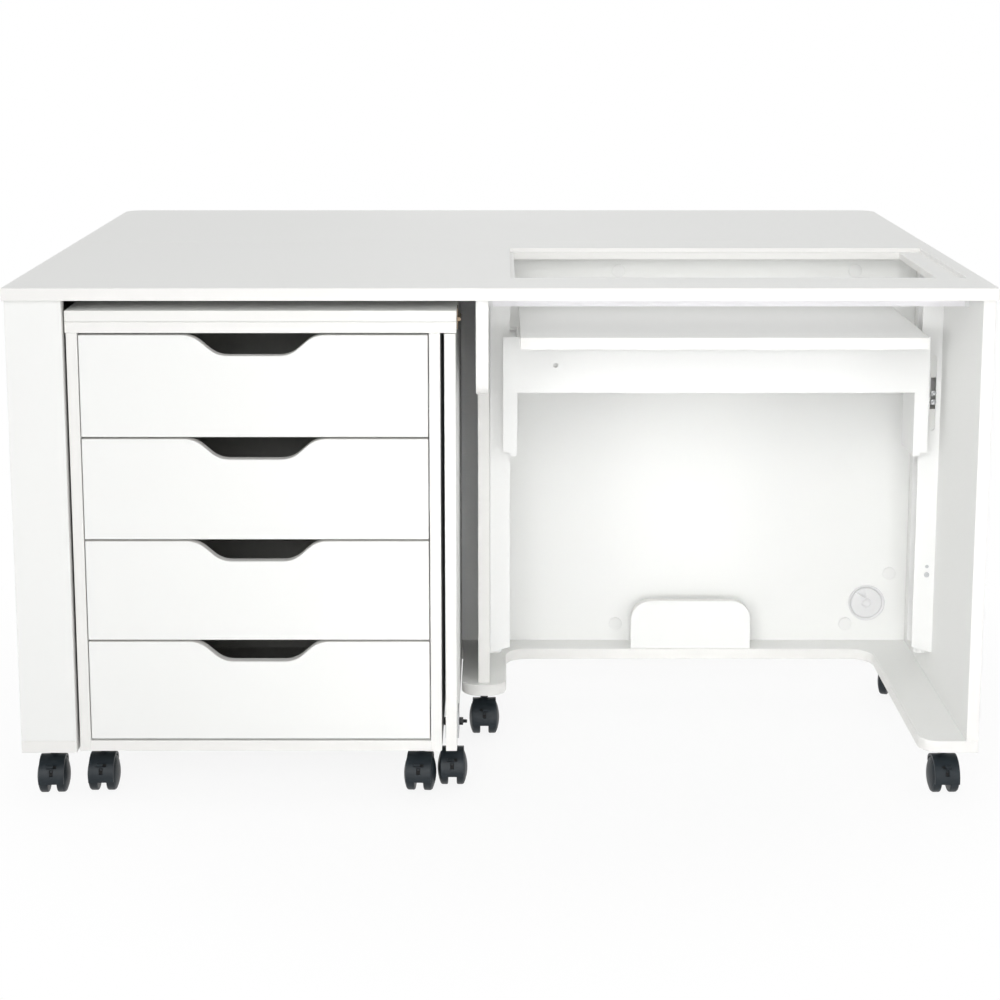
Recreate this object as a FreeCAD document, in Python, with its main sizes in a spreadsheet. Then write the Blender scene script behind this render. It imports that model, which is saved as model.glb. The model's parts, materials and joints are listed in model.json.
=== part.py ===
"""Sewing and cutting table with a drop leaf, a machine lift and a rolling drawer caddy.

Millimetres, +Z up, +X to the right of a person seated at the table, -Y towards that person.
The origin is on the floor, below the middle of the open worktop.
"""
import FreeCAD, Part
import os
import re
import Sketcher

DRAWERS = 4
LEAF_HINGES = 4

# Driving sizes in millimetres, caster rest angles in degrees
SIZES = [
    # Worktop
    ("table_width", "1410"),
    ("table_height", "766"),
    ("board", "18"),
    ("top_depth", "520"),
    ("leaf_depth", "480"),
    ("seam_gap", "2"),
    ("leaf_corner", "30"),
    ("top_overhang", "2"),
    ("front_setback", "8"),
    ("rear_overhang", "27"),
    # Machine opening in the worktop
    ("opening_front", "111"),
    ("opening_rear", "84"),
    ("opening_left_gap", "38.5"),
    ("opening_right_gap", "37"),
    ("rabbet_depth", "7"),
    ("rabbet_lip", "6"),
    ("rabbet_right", "34"),
    # Legs, uprights and base boards
    ("foot_width", "81"),
    ("arm_width", "84"),
    ("knee_width", "701.5"),
    ("centre_setback", "260"),
    ("bracket_front", "12"),
    ("bracket_height", "141"),
    ("bracket_nose", "24"),
    ("bracket_curve", "80"),
    ("foot_margin", "26.5"),
    ("foot_lead", "10"),
    ("foot_round", "30"),
    ("strip_depth", "63"),
    ("base_round", "35"),
    ("bay_round", "18"),
    # Stiffening rail below the worktop's front strip
    ("rail_setback", "95"),
    ("rail_height", "23"),
    ("rail_depth", "12"),
    ("rail_cap", "6"),
    ("rail_cap_lip", "1"),
    # Pedal stop, cable grommet and cover caps
    ("stop_width", "200"),
    ("stop_height", "82"),
    ("stop_board", "15"),
    ("stop_round", "33"),
    ("stop_right", "266.5"),
    ("stop_lead", "2"),
    ("grommet_inset", "66"),
    ("grommet_rise", "66"),
    ("grommet_flange", "30.5"),
    ("grommet_lip", "3"),
    ("grommet_sleeve", "27"),
    ("grommet_bore", "24"),
    ("grommet_cap_radius", "26"),
    ("grommet_cap_board", "2"),
    ("grommet_skirt", "5"),
    ("grommet_boss", "8"),
    ("grommet_boss_rise", "0.8"),
    ("grommet_slit", "1.4"),
    ("grommet_slit_depth", "1"),
    ("grommet_slit_turn", "-128"),
    ("cover_radius", "11"),
    ("cover_board", "1.5"),
    ("cover_left", "211.5"),
    ("cover_right", "101"),
    ("cover_low", "29"),
    ("cover_high", "24"),
    ("cover_side", "29"),
    ("cover_side_rise", "117"),
    # Leaf hinges and the swing frame that carries the open leaf
    ("hinge_length", "60"),
    ("hinge_inset", "160"),
    ("hinge_plate", "2"),
    ("hinge_knuckle", "4"),
    ("hinge_pin", "2"),
    ("hinge_base_reach", "23"),
    ("hinge_flap_reach", "38"),
    ("frame_rise", "210"),
    ("frame_inset", "290"),
    ("frame_tube", "8"),
    ("frame_bar", "9"),
    ("frame_sleeve", "10"),
    ("frame_sleeve_length", "22"),
    ("frame_pin", "4"),
    ("frame_offset", "14"),
    ("ear_board", "3"),
    ("ear_width", "18"),
    ("bracket_plate", "60"),
    # Machine lift
    ("platform_drop", "91"),
    ("platform_left", "8"),
    ("platform_right", "14"),
    ("platform_gap", "5"),
    ("steel", "2"),
    ("carriage_front", "236"),
    ("carriage_gap", "21"),
    ("carriage_right_gap", "24"),
    ("carriage_leg", "22"),
    ("carriage_length", "187.5"),
    ("carriage_panel", "87"),
    ("carriage_step", "6"),
    ("carriage_flange", "60"),
    ("carriage_hole", "3.7"),
    ("carriage_hole_left", "81"),
    ("carriage_hole_drop", "44"),
    ("guide_front", "262"),
    ("guide_width", "32"),
    ("guide_depth", "38"),
    ("guide_rise", "50"),
    ("guide_slant", "9.5"),
    ("slot_radius", "4.25"),
    ("slot_length", "119"),
    ("slot_drop", "126"),
    ("slot_inset", "12"),
    ("screw_head", "5"),
    ("screw_height", "3"),
    ("screw_drop", "60"),
    ("screw_pitch", "14"),
    ("slider_height", "53"),
    ("slider_margin", "16"),
    ("lift_down", "210"),
    ("gas_radius", "9"),
    ("gas_wall", "1.5"),
    ("gas_gland", "5"),
    ("gas_rod", "4"),
    ("gas_piston", "6"),
    ("gas_foot", "12"),
    ("gas_floor", "33.9"),
    ("gas_inset", "10"),
    ("gas_clear", "15"),
    ("gas_lug", "4"),
    # Caddy
    ("caddy_gap", "2"),
    ("caddy_setback", "16"),
    ("caddy_rear_gap", "14"),
    ("caddy_foot_gap", "2.5"),
    ("caddy_top_gap", "16.7"),
    ("caddy_board", "16"),
    ("caddy_over", "1.5"),
    ("caddy_back_board", "6"),
    ("gate_gap", "6"),
    ("gate_top_gap", "1"),
    ("flip_hinge_length", "40"),
    ("flip_hinge_inset", "24"),
    ("flip_hinge_plate", "1.5"),
    ("flip_hinge_knuckle", "3"),
    ("gate_hinge_length", "60"),
    ("gate_hinge_inset", "120"),
    ("gate_hinge_reach", "25"),
    ("strap_board", "2"),
    ("strap_depth", "40"),
    ("strap_height", "40"),
    ("strap_bolt", "3"),
    ("strap_bolt_drop", "20.6"),
    ("bolt_head", "6"),
    ("bolt_head_height", "6"),
    ("bolt_nut_height", "3"),
    # Drawers and their runners
    ("drawer_gap", "3"),
    ("drawer_side_gap", "1.5"),
    ("scoop_top", "174"),
    ("scoop_flat", "104"),
    ("scoop_depth", "30"),
    ("scoop_round", "40"),
    ("drawer_rear_gap", "28"),
    ("drawer_top_gap", "3.5"),
    ("drawer_wall", "12"),
    ("drawer_bottom", "6"),
    ("drawer_rise", "10"),
    ("bottom_rise", "6"),
    ("runner_space", "13"),
    ("runner_height", "36"),
    ("runner_wall", "1.5"),
    ("runner_lip", "8"),
    ("runner_rise", "30"),
    # Casters
    ("caster_height", "74"),
    ("caster_inset", "50"),
    ("caster_rear_inset", "40"),
    ("left_caster_inset", "37"),
    ("caddy_caster_left", "26"),
    ("caddy_caster_right", "33"),
    ("gate_caster_inset", "72"),
    ("wheel_radius", "26"),
    ("wheel_width", "48"),
    ("gate_wheel_width", "45"),
    ("wheel_gap", "13"),
    ("wheel_dome", "5.8"),
    ("axle_radius", "3"),
    ("hood_radius", "31"),
    ("hood_wall", "3.7"),
    ("hood_inset", "5.5"),
    ("hood_lift", "21.5"),
    ("hood_rear", "12"),
    ("trail", "12"),
    ("neck_radius", "6"),
    ("stem_radius", "5"),
    ("stem_length", "14"),
    ("slot_bar_width", "15"),
    ("slot_bar_height", "4.5"),
    ("slot_bar_rise", "43.6"),
    ("slot_stem_width", "5.6"),
    ("slot_stem_height", "9"),
    ("slot_gap", "1.2"),
    ("slot_recess", "2.8"),
    ("left_front_turn", "3"),
    ("left_rear_turn", "172"),
    ("centre_turn", "1"),
    ("right_front_turn", "1"),
    ("right_rear_turn", "160"),
    ("caddy_front_left_turn", "1"),
    ("caddy_front_right_turn", "-4"),
    ("caddy_rear_left_turn", "165"),
    ("caddy_rear_right_turn", "190"),
    ("gate_turn", "0"),
    # Clearances
    ("fit", "0.05"),
    ("play", "0.3"),
    ("overcut", "1"),
]

doc = FreeCAD.newDocument("SewingTable")
sheet = doc.addObject("Spreadsheet::Sheet", "Sizes")
for row, (alias, number) in enumerate(SIZES, start=1):
    sheet.set(f"A{row}", alias)
    sheet.set(f"B{row}", number)
    sheet.setAlias(f"B{row}", alias)
doc.recompute()

# Planes and edges that several pieces share, as formulas in the driving sizes
FRONT = "(-(top_depth + seam_gap + leaf_depth) / 2)"
TOP_UNDER = "(table_height - board)"
BASE_TOP = "(caster_height + board)"
UPRIGHT_HEIGHT = f"({TOP_UNDER} - {BASE_TOP})"
OUTER_RIGHT = "(table_width / 2 - top_overhang)"
INNER_RIGHT = f"({OUTER_RIGHT} - board)"
OUTER_LEFT = "(top_overhang - table_width / 2)"
INNER_LEFT = f"({OUTER_LEFT} + board)"
KNEE_LEFT = f"({INNER_RIGHT} - knee_width)"
BODY_FRONT = f"({FRONT} + front_setback)"
BODY_REAR = f"({FRONT} + top_depth - rear_overhang)"
BODY_DEPTH = "(top_depth - rear_overhang - front_setback)"
BACK_FRONT = f"({BODY_REAR} - board)"
FOOT_LEFT = f"({KNEE_LEFT} - board - foot_margin)"
FOOT_FRONT = "(centre_setback - foot_lead - front_setback)"
STRIP_FRONT = f"({BODY_DEPTH} - strip_depth)"
OPENING_LEFT = f"({KNEE_LEFT} + opening_left_gap)"
OPENING_FRONT = f"({FRONT} + opening_front)"
OPENING_WIDTH = "(knee_width - opening_left_gap - opening_right_gap)"
OPENING_DEPTH = "(top_depth - opening_front - opening_rear)"
PLATFORM_WIDTH = f"({OPENING_WIDTH} - platform_left - platform_right)"
LEAF_AXIS_Y = f"({FRONT} + top_depth + seam_gap / 2)"
LEAF_AXIS_Z = f"({TOP_UNDER} - hinge_knuckle - play)"
FRAME_Y = f"({BODY_REAR} + frame_offset)"
FRAME_Z = f"({TOP_UNDER} - play - frame_bar - frame_rise)"
CARRIAGE_TOP = "(table_height - platform_drop - board - steel)"
CARRIAGE_LEFT = f"({KNEE_LEFT} + carriage_gap)"
CARRIAGE_WIDTH = "(knee_width - carriage_gap - carriage_right_gap)"
CARRIAGE_FRONT = f"({FRONT} + carriage_front)"
GUIDE_FRONT = f"({FRONT} + guide_front)"
GAS_Y = f"({GUIDE_FRONT} + guide_depth + gas_clear)"
GAS_TOP = f"({CARRIAGE_TOP} - gas_lug - lift_down - play)"
CADDY_TOP_LEFT = f"({OUTER_LEFT} + foot_width + caddy_gap)"
CADDY_LEFT = f"({CADDY_TOP_LEFT} + caddy_over)"
CADDY_RIGHT = f"({FOOT_LEFT} - caddy_foot_gap - caddy_board - gate_gap)"
CADDY_WIDTH = f"({CADDY_RIGHT} - {CADDY_LEFT})"
CADDY_FRONT = f"({FRONT} + caddy_setback)"
CADDY_REAR = f"({BODY_FRONT} + {STRIP_FRONT} - caddy_rear_gap)"
CADDY_DEPTH = f"({CADDY_REAR} - {CADDY_FRONT})"
CADDY_SIDE_TOP = f"({TOP_UNDER} - caddy_top_gap - 2 * caddy_board - play)"
CADDY_SIDE = f"({CADDY_SIDE_TOP} - caster_height)"
GATE_LEFT = f"({CADDY_RIGHT} + gate_gap)"
GATE_RIGHT = f"({GATE_LEFT} + caddy_board)"
GATE_BOLT_Z = "(caster_height + strap_height - strap_bolt_drop)"
GATE_STEM_Y = f"({CADDY_FRONT} + gate_caster_inset)"
CADDY_TOP_WIDTH = f"({CADDY_WIDTH} + gate_gap + caddy_board + 2 * caddy_over)"
DRAWER_LEFT = f"({CADDY_LEFT} + caddy_board)"
DRAWER_SPACE = f"({CADDY_WIDTH} - 2 * caddy_board)"
DRAWER_DEPTH = f"({CADDY_DEPTH} - caddy_board - caddy_back_board - drawer_rear_gap)"
FRONT_HEIGHT = f"(({CADDY_SIDE} - caddy_board - {DRAWERS + 1} * drawer_gap) / {DRAWERS})"
DRAWER_HEIGHT = f"({FRONT_HEIGHT} - scoop_depth - drawer_rise - drawer_top_gap)"
FRONT_WIDTH = f"({DRAWER_SPACE} - 2 * drawer_side_gap)"
BOX_WIDTH = f"({DRAWER_SPACE} - 2 * runner_space)"

FUNCTIONS = ("sqrt",)
TURNS = {
    "x": FreeCAD.Rotation(FreeCAD.Vector(0, 1, 0), 90),
    "y": FreeCAD.Rotation(FreeCAD.Vector(1, 0, 0), -90),
    "z": FreeCAD.Rotation(),
}
PLANES = {"xy": "XY_Plane", "xz": "XZ_Plane", "yz": "YZ_Plane"}
NEAR = 1e-3

nodes = []


def sized(formula):
    """Turn a formula in size names into an expression that reads the sheet."""

    def cell(word):
        name = word.group()
        return name if name in FUNCTIONS else f"Sizes.{name}"

    return re.sub(r"[a-z][a-z_0-9]*", cell, formula)


def value(formula):
    """Work out a formula in size names as a plain number."""
    return float(sheet.evalExpression(sized(formula)))


def bind(item, prop, formula):
    item.setExpression(prop, sized(formula))


def place(item, corner):
    for axis, formula in zip("xyz", corner):
        bind(item, f"Placement.Base.{axis}", formula)
    return item


def turn(item, axis, formula):
    """Turn an item about an axis through its own origin, by an angle in degrees."""
    item.Placement = FreeCAD.Placement(item.Placement.Base, FreeCAD.Rotation(axis, 1))
    bind(item, "Placement.Rotation.Angle", formula)
    return item


def node(item, label):
    """Name a finished piece, so that it is written out under that name."""
    item.Label = label
    nodes.append(item)
    return item


def box(size, corner):
    item = doc.addObject("Part::Box", "Block")
    for prop, formula in zip(("Length", "Width", "Height"), size):
        bind(item, prop, formula)
    return place(item, corner)


def rod(radius, length, start, axis):
    """A cylinder that runs from start in the positive direction of an axis."""
    item = doc.addObject("Part::Cylinder", "Rod")
    bind(item, "Radius", radius)
    bind(item, "Height", length)
    item.Placement = FreeCAD.Placement(FreeCAD.Vector(), TURNS[axis])
    return place(item, start)


def group(items, name="Group"):
    item = doc.addObject("Part::Compound", name)
    item.Links = items
    return item


def join(items):
    item = doc.addObject("Part::MultiFuse", "Join")
    item.Shapes = items
    return item


def cut(base, tools):
    item = doc.addObject("Part::Cut", "Cut")
    item.Base = base
    item.Tool = tools[0] if len(tools) == 1 else join(tools)
    return item


def common(first, second):
    item = doc.addObject("Part::Common", "Common")
    item.Base = first
    item.Tool = second
    return item


def origin_plane(body, plane):
    return next(item for item in body.Origin.OriginFeatures if item.Role == PLANES[plane])


def pin_corner(sketch, kind, axis, index, formula):
    """Hold one coordinate of a sketch corner: on the axis, or at a bound distance from it."""
    if formula == "0":
        sketch.addConstraint(Sketcher.Constraint("PointOnObject", index, 1, axis))
        return
    number = sketch.addConstraint(Sketcher.Constraint(kind, -1, 1, index, 1, value(formula)))
    bind(sketch, f"Constraints[{number}]", formula)


def plate(plane, corners, thickness, corner, rounds=()):
    """A board cut to an outline in one plane. rounds pairs corner numbers with a radius."""
    body = doc.addObject("PartDesign::Body", "Board")
    sketch = body.newObject("Sketcher::SketchObject", "Outline")
    sketch.AttachmentSupport = [(origin_plane(body, plane), "")]
    sketch.MapMode = "FlatFace"
    points = [FreeCAD.Vector(value(across), value(along), 0) for across, along in corners]
    for start, end in zip(points, points[1:] + points[:1]):
        sketch.addGeometry(Part.LineSegment(start, end), False)
    for index in range(len(points)):
        following = (index + 1) % len(points)
        sketch.addConstraint(Sketcher.Constraint("Coincident", index, 2, following, 1))
    for index, (across, along) in enumerate(corners):
        pin_corner(sketch, "DistanceX", -2, index, across)
        pin_corner(sketch, "DistanceY", -1, index, along)
    feature = body.newObject("PartDesign::Pad", "Pad")
    feature.Profile = sketch
    feature.Reversed = plane == "xz"
    bind(feature, "Length", thickness)
    for picked, radius in rounds:
        feature = round_corners(body, feature, plane, [points[index] for index in picked], radius)
    body.Tip = feature
    return place(body, corner)


def round_corners(body, base, plane, points, radius):
    """Fillet the edges that run through the board at the picked outline corners."""
    doc.recompute()
    first, second = plane
    picked = []
    for number, edge in enumerate(base.Shape.Edges, start=1):
        ends = [vertex.Point for vertex in edge.Vertexes]
        across = [getattr(end, first) for end in ends]
        along = [getattr(end, second) for end in ends]
        if max(across) - min(across) > NEAR or max(along) - min(along) > NEAR:
            continue
        if any(abs(across[0] - p.x) < NEAR and abs(along[0] - p.y) < NEAR for p in points):
            picked.append(f"Edge{number}")
    fillet = body.newObject("PartDesign::Fillet", "Rounding")
    fillet.Base = (base, picked)
    bind(fillet, "Radius", radius)
    return fillet


def make_worktop():
    top = box(("table_width", "top_depth", "board"), ("-table_width / 2", FRONT, TOP_UNDER))
    opening = box(
        (OPENING_WIDTH, OPENING_DEPTH, "board + 2 * overcut"),
        (OPENING_LEFT, OPENING_FRONT, f"{TOP_UNDER} - overcut"),
    )
    rabbet = box(
        (
            f"{OPENING_WIDTH} + rabbet_lip + rabbet_right",
            f"{OPENING_DEPTH} + 2 * rabbet_lip",
            "rabbet_depth + overcut",
        ),
        (f"{OPENING_LEFT} - rabbet_lip", f"{OPENING_FRONT} - rabbet_lip", "table_height - rabbet_depth"),
    )
    node(cut(top, [opening, rabbet]), "fixed_top")
    leaf = plate(
        "xy",
        [("0", "0"), ("table_width", "0"), ("table_width", "leaf_depth"), ("0", "leaf_depth")],
        "board",
        ("-table_width / 2", f"{FRONT} + top_depth + seam_gap", TOP_UNDER),
        [((2, 3), "leaf_corner")],
    )
    node(leaf, "rear_leaf")


def make_front_rail():
    cap_size = ("rail_cap", "rail_depth + 2 * rail_cap_lip", "rail_height + rail_cap_lip")
    cap_y = f"{FRONT} + rail_setback - rail_cap_lip"
    cap_z = f"{TOP_UNDER} - rail_height - rail_cap_lip"
    bar = box(
        ("knee_width - 2 * rail_cap", "rail_depth", "rail_height"),
        (f"{KNEE_LEFT} + rail_cap", f"{FRONT} + rail_setback", f"{TOP_UNDER} - rail_height"),
    )
    left_cap = box(cap_size, (KNEE_LEFT, cap_y, cap_z))
    right_cap = box(cap_size, (f"{INNER_RIGHT} - rail_cap", cap_y, cap_z))
    node(group([bar, left_cap, right_cap]), "front_rail")


def make_uprights():
    fascia = box(("foot_width", "board", UPRIGHT_HEIGHT), (OUTER_LEFT, BODY_FRONT, BASE_TOP))
    node(fascia, "left_fascia")
    side = box(
        ("board", f"{BODY_DEPTH} - board", UPRIGHT_HEIGHT),
        (OUTER_LEFT, f"{BODY_FRONT} + board", BASE_TOP),
    )
    node(side, "left_side_panel")
    right = box(("board", BODY_DEPTH, UPRIGHT_HEIGHT), (INNER_RIGHT, BODY_FRONT, BASE_TOP))
    node(right, "right_upright")
    back = box(
        (f"{INNER_RIGHT} - {INNER_LEFT}", "board", UPRIGHT_HEIGHT),
        (INNER_LEFT, BACK_FRONT, BASE_TOP),
    )
    cable_hole = rod(
        "grommet_sleeve + play",
        "board + 2 * overcut",
        (f"{INNER_RIGHT} - grommet_inset", f"{BACK_FRONT} - overcut", f"{BASE_TOP} + grommet_rise"),
        "y",
    )
    node(cut(back, [cable_hole]), "back_panel")
    lower = "centre_setback - bracket_front"
    rear = "top_depth - rear_overhang - board - bracket_front"
    nose = f"{UPRIGHT_HEIGHT} - bracket_height"
    centre = plate(
        "yz",
        [
            (lower, "0"),
            (rear, "0"),
            (rear, UPRIGHT_HEIGHT),
            ("0", UPRIGHT_HEIGHT),
            ("0", nose),
            (lower, nose),
        ],
        "board",
        (f"{KNEE_LEFT} - board", f"{FRONT} + bracket_front", BASE_TOP),
        [((4,), "bracket_nose"), ((5,), "bracket_curve")],
    )
    node(centre, "centre_upright")


def stem_bore(x, y):
    """Blind bore for a caster stem in the underside of a base board."""
    return rod(
        "stem_radius + fit",
        "stem_length + play + overcut",
        (x, y, "caster_height - overcut"),
        "z",
    )


def make_base_boards():
    foot = "board + 2 * foot_margin"
    width = f"{OUTER_RIGHT} - {FOOT_LEFT}"
    arm = f"{width} - arm_width"
    right = plate(
        "xy",
        [
            ("0", FOOT_FRONT),
            (foot, FOOT_FRONT),
            (foot, STRIP_FRONT),
            (arm, STRIP_FRONT),
            (arm, "0"),
            (width, "0"),
            (width, BODY_DEPTH),
            ("0", BODY_DEPTH),
        ],
        "board",
        (FOOT_LEFT, BODY_FRONT, "caster_height"),
        [((0, 1, 4), "foot_round"), ((2, 3), "base_round")],
    )
    right_bores = [stem_bore(*STEMS[name]) for name in ("centre", "right_front", "right_rear")]
    node(cut(right, right_bores), "base_right")
    reach = f"{FOOT_LEFT} - {OUTER_LEFT}"
    left = plate(
        "xy",
        [
            ("0", "0"),
            ("foot_width", "0"),
            ("foot_width", STRIP_FRONT),
            (reach, STRIP_FRONT),
            (reach, BODY_DEPTH),
            ("0", BODY_DEPTH),
        ],
        "board",
        (OUTER_LEFT, BODY_FRONT, "caster_height"),
        [((2,), "bay_round")],
    )
    left_bores = [stem_bore(*STEMS[name]) for name in ("left_front", "left_rear")]
    node(cut(left, left_bores), "base_left")


def make_pedal_stop():
    stop = plate(
        "xz",
        [("0", "0"), ("stop_width", "0"), ("stop_width", "stop_height"), ("0", "stop_height")],
        "stop_board",
        (
            f"{INNER_RIGHT} - stop_right - stop_width",
            f"{BODY_FRONT} + {STRIP_FRONT} + stop_lead",
            BASE_TOP,
        ),
        [((2, 3), "stop_round")],
    )
    node(stop, "pedal_stop")


def make_grommet():
    x = f"{INNER_RIGHT} - grommet_inset"
    z = f"{BASE_TOP} + grommet_rise"
    front = f"{BACK_FRONT} - grommet_lip"
    flange = rod("grommet_flange", "grommet_lip", (x, front, z), "y")
    sleeve = rod("grommet_sleeve", "board", (x, BACK_FRONT, z), "y")
    mouth = (x, f"{front} - overcut", z)
    recess = rod("grommet_cap_radius + fit", "grommet_cap_board + overcut", mouth, "y")
    bore = rod("grommet_bore", "board + grommet_lip + 2 * overcut", mouth, "y")
    node(cut(join([flange, sleeve]), [recess, bore]), "grommet_ring")
    disc = rod("grommet_cap_radius", "grommet_cap_board", (x, front, z), "y")
    skirt = rod("grommet_bore - fit", "grommet_skirt", (x, f"{front} + grommet_cap_board", z), "y")
    slit = box(("grommet_flange", "overcut + grommet_slit_depth", "grommet_slit"), mouth)
    turn(slit, FreeCAD.Vector(0, 1, 0), "grommet_slit_turn")
    hub_start = (x, f"{front} - grommet_boss_rise", z)
    hub = rod("grommet_boss", "grommet_boss_rise + grommet_slit_depth", hub_start, "y")
    node(join([cut(join([disc, skirt]), [slit]), hub]), "grommet_cap")


def make_cover_caps():
    y = f"{BACK_FRONT} - cover_board"
    low = f"{BASE_TOP} + cover_low"
    high = f"{TOP_UNDER} - cover_high"
    left = f"{KNEE_LEFT} + cover_left"
    right = f"{INNER_RIGHT} - cover_right"
    side = f"{INNER_RIGHT} - cover_side"
    spots = [(left, low), (right, low), (left, high), (right, high)]
    spots.append((side, f"{BASE_TOP} + cover_side_rise"))
    caps = [rod("cover_radius", "cover_board", (x, y, z), "y") for x, z in spots]
    node(group(caps), "cover_caps")


def hinge_start(number):
    """Left end of one of the evenly spaced leaf hinges."""
    span = "(table_width - 2 * hinge_inset - hinge_length)"
    return f"(hinge_inset - table_width / 2 + {number} * {span} / {LEAF_HINGES - 1})"


def make_hinge_base(start):
    """Plate, outer knuckles and pin below the fixed top."""
    quarter = "hinge_length / 4"
    far = f"{start} + 3 * hinge_length / 4"
    plate_z = f"{TOP_UNDER} - hinge_plate"
    clear = "hinge_knuckle + play"
    solids = [
        box(
            ("hinge_length", f"hinge_base_reach - ({clear})", "hinge_plate"),
            (start, f"{LEAF_AXIS_Y} - hinge_base_reach", plate_z),
        ),
        rod("hinge_pin", "hinge_length", (start, LEAF_AXIS_Y, LEAF_AXIS_Z), "x"),
    ]
    for x in (start, far):
        solids.append(box((quarter, clear, "hinge_plate"), (x, f"{LEAF_AXIS_Y} - ({clear})", plate_z)))
        solids.append(rod("hinge_knuckle", quarter, (x, LEAF_AXIS_Y, LEAF_AXIS_Z), "x"))
    return join(solids)


def make_hinge_flap(start):
    """Plate and middle knuckle below the leaf."""
    clear = "hinge_knuckle + play"
    middle = f"{start} + hinge_length / 4 + play"
    middle_length = "hinge_length / 2 - 2 * play"
    plate_z = f"{TOP_UNDER} - hinge_plate"
    wing = box(
        ("hinge_length", f"hinge_flap_reach - ({clear})", "hinge_plate"),
        (start, f"{LEAF_AXIS_Y} + {clear}", plate_z),
    )
    tab = box((middle_length, clear, "hinge_plate"), (middle, LEAF_AXIS_Y, plate_z))
    knuckle = rod("hinge_knuckle", middle_length, (middle, LEAF_AXIS_Y, LEAF_AXIS_Z), "x")
    bore = rod("hinge_pin + fit", "hinge_length", (start, LEAF_AXIS_Y, LEAF_AXIS_Z), "x")
    return cut(join([wing, tab, knuckle]), [bore])


def make_frame_bracket(x):
    """Plate on the back panel with two ears and the pin that the swing frame turns on."""
    half = "(frame_sleeve_length / 2 + play)"
    ear_size = ("ear_board", f"{FRAME_Y} + ear_width / 2 - {BODY_REAR}", "ear_width")
    ear_z = f"{FRAME_Z} - ear_width / 2"
    solids = [
        box(
            (f"2 * ({half} + ear_board)", "ear_board", "bracket_plate"),
            (f"{x} - {half} - ear_board", BODY_REAR, f"{FRAME_Z} - bracket_plate / 2"),
        ),
        box(ear_size, (f"{x} - {half} - ear_board", BODY_REAR, ear_z)),
        box(ear_size, (f"{x} + {half}", BODY_REAR, ear_z)),
        rod("frame_pin", f"2 * ({half} + ear_board)", (f"{x} - {half} - ear_board", FRAME_Y, FRAME_Z), "x"),
    ]
    return join(solids)


def make_swing_frame(sides):
    """Two arms at 45 degrees, joined by the cross bar that carries the open leaf."""
    solids = []
    for x in sides:
        arm = rod("frame_tube", "frame_rise * sqrt(2)", (x, FRAME_Y, FRAME_Z), "z")
        arm.Placement.Rotation = FreeCAD.Rotation(FreeCAD.Vector(1, 0, 0), -45)
        solids.append(arm)
        sleeve_x = f"{x} - frame_sleeve_length / 2"
        solids.append(rod("frame_sleeve", "frame_sleeve_length", (sleeve_x, FRAME_Y, FRAME_Z), "x"))
    start = f"{sides[0]} - frame_sleeve_length / 2"
    span = f"{sides[1]} - {sides[0]} + frame_sleeve_length"
    bar_start = (start, f"{FRAME_Y} + frame_rise", f"{FRAME_Z} + frame_rise")
    solids.append(rod("frame_bar", span, bar_start, "x"))
    pin_bore = rod("frame_pin + fit", span, (start, FRAME_Y, FRAME_Z), "x")
    return cut(join(solids), [pin_bore])


def make_leaf_fittings():
    starts = [hinge_start(number) for number in range(LEAF_HINGES)]
    sides = ("(frame_inset - table_width / 2)", "(table_width / 2 - frame_inset)")
    fixed = [make_hinge_base(start) for start in starts] + [make_frame_bracket(x) for x in sides]
    node(group(fixed), "leaf_fittings")
    node(group([make_hinge_flap(start) for start in starts]), "leaf_hinge_flaps")
    node(make_swing_frame(sides), "leaf_swing_frame")


def make_lift_guide(left):
    """Steel channel on an upright, open towards the knee space. The right one has a screwed slot."""
    height = f"({UPRIGHT_HEIGHT} - guide_rise)"
    x = KNEE_LEFT if left else f"{INNER_RIGHT} - guide_width"
    z = f"{BASE_TOP} + guide_rise"
    web_low = ("0", "0") if left else ("0", "guide_slant")
    free_low = ("guide_width", "guide_slant") if left else ("guide_width", "0")
    outer = plate(
        "xz",
        [web_low, free_low, ("guide_width", height), ("0", height)],
        "guide_depth",
        (x, GUIDE_FRONT, z),
    )
    hollow = box(
        ("guide_width - steel + overcut", "guide_depth - 2 * steel", f"{height} + 2 * overcut"),
        (f"{x} + steel" if left else f"{x} - overcut", f"{GUIDE_FRONT} + steel", f"{z} - overcut"),
    )
    if left:
        return [cut(outer, [hollow])]
    slot_x = f"{INNER_RIGHT} - slot_inset"
    slot_y = f"{GUIDE_FRONT} - overcut"
    slot_low = f"{TOP_UNDER} - slot_drop - slot_length + slot_radius"
    slot_high = f"{TOP_UNDER} - slot_drop - slot_radius"
    slot = [
        box(
            ("2 * slot_radius", "steel + 2 * overcut", "slot_length - 2 * slot_radius"),
            (f"{slot_x} - slot_radius", slot_y, slot_low),
        ),
        rod("slot_radius", "steel + 2 * overcut", (slot_x, slot_y, slot_low), "y"),
        rod("slot_radius", "steel + 2 * overcut", (slot_x, slot_y, slot_high), "y"),
    ]
    channel = cut(outer, [hollow] + slot)
    head_y = f"{GUIDE_FRONT} - screw_height"
    screws = []
    for number in range(2):
        screw_z = f"{TOP_UNDER} - slot_drop - screw_drop - {number} * screw_pitch"
        head = rod("screw_head", "screw_height", (slot_x, head_y, screw_z), "y")
        shank = rod("slot_radius - play", "steel", (slot_x, GUIDE_FRONT, screw_z), "y")
        screws.append(join([head, shank]))
    return [channel] + screws


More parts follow.
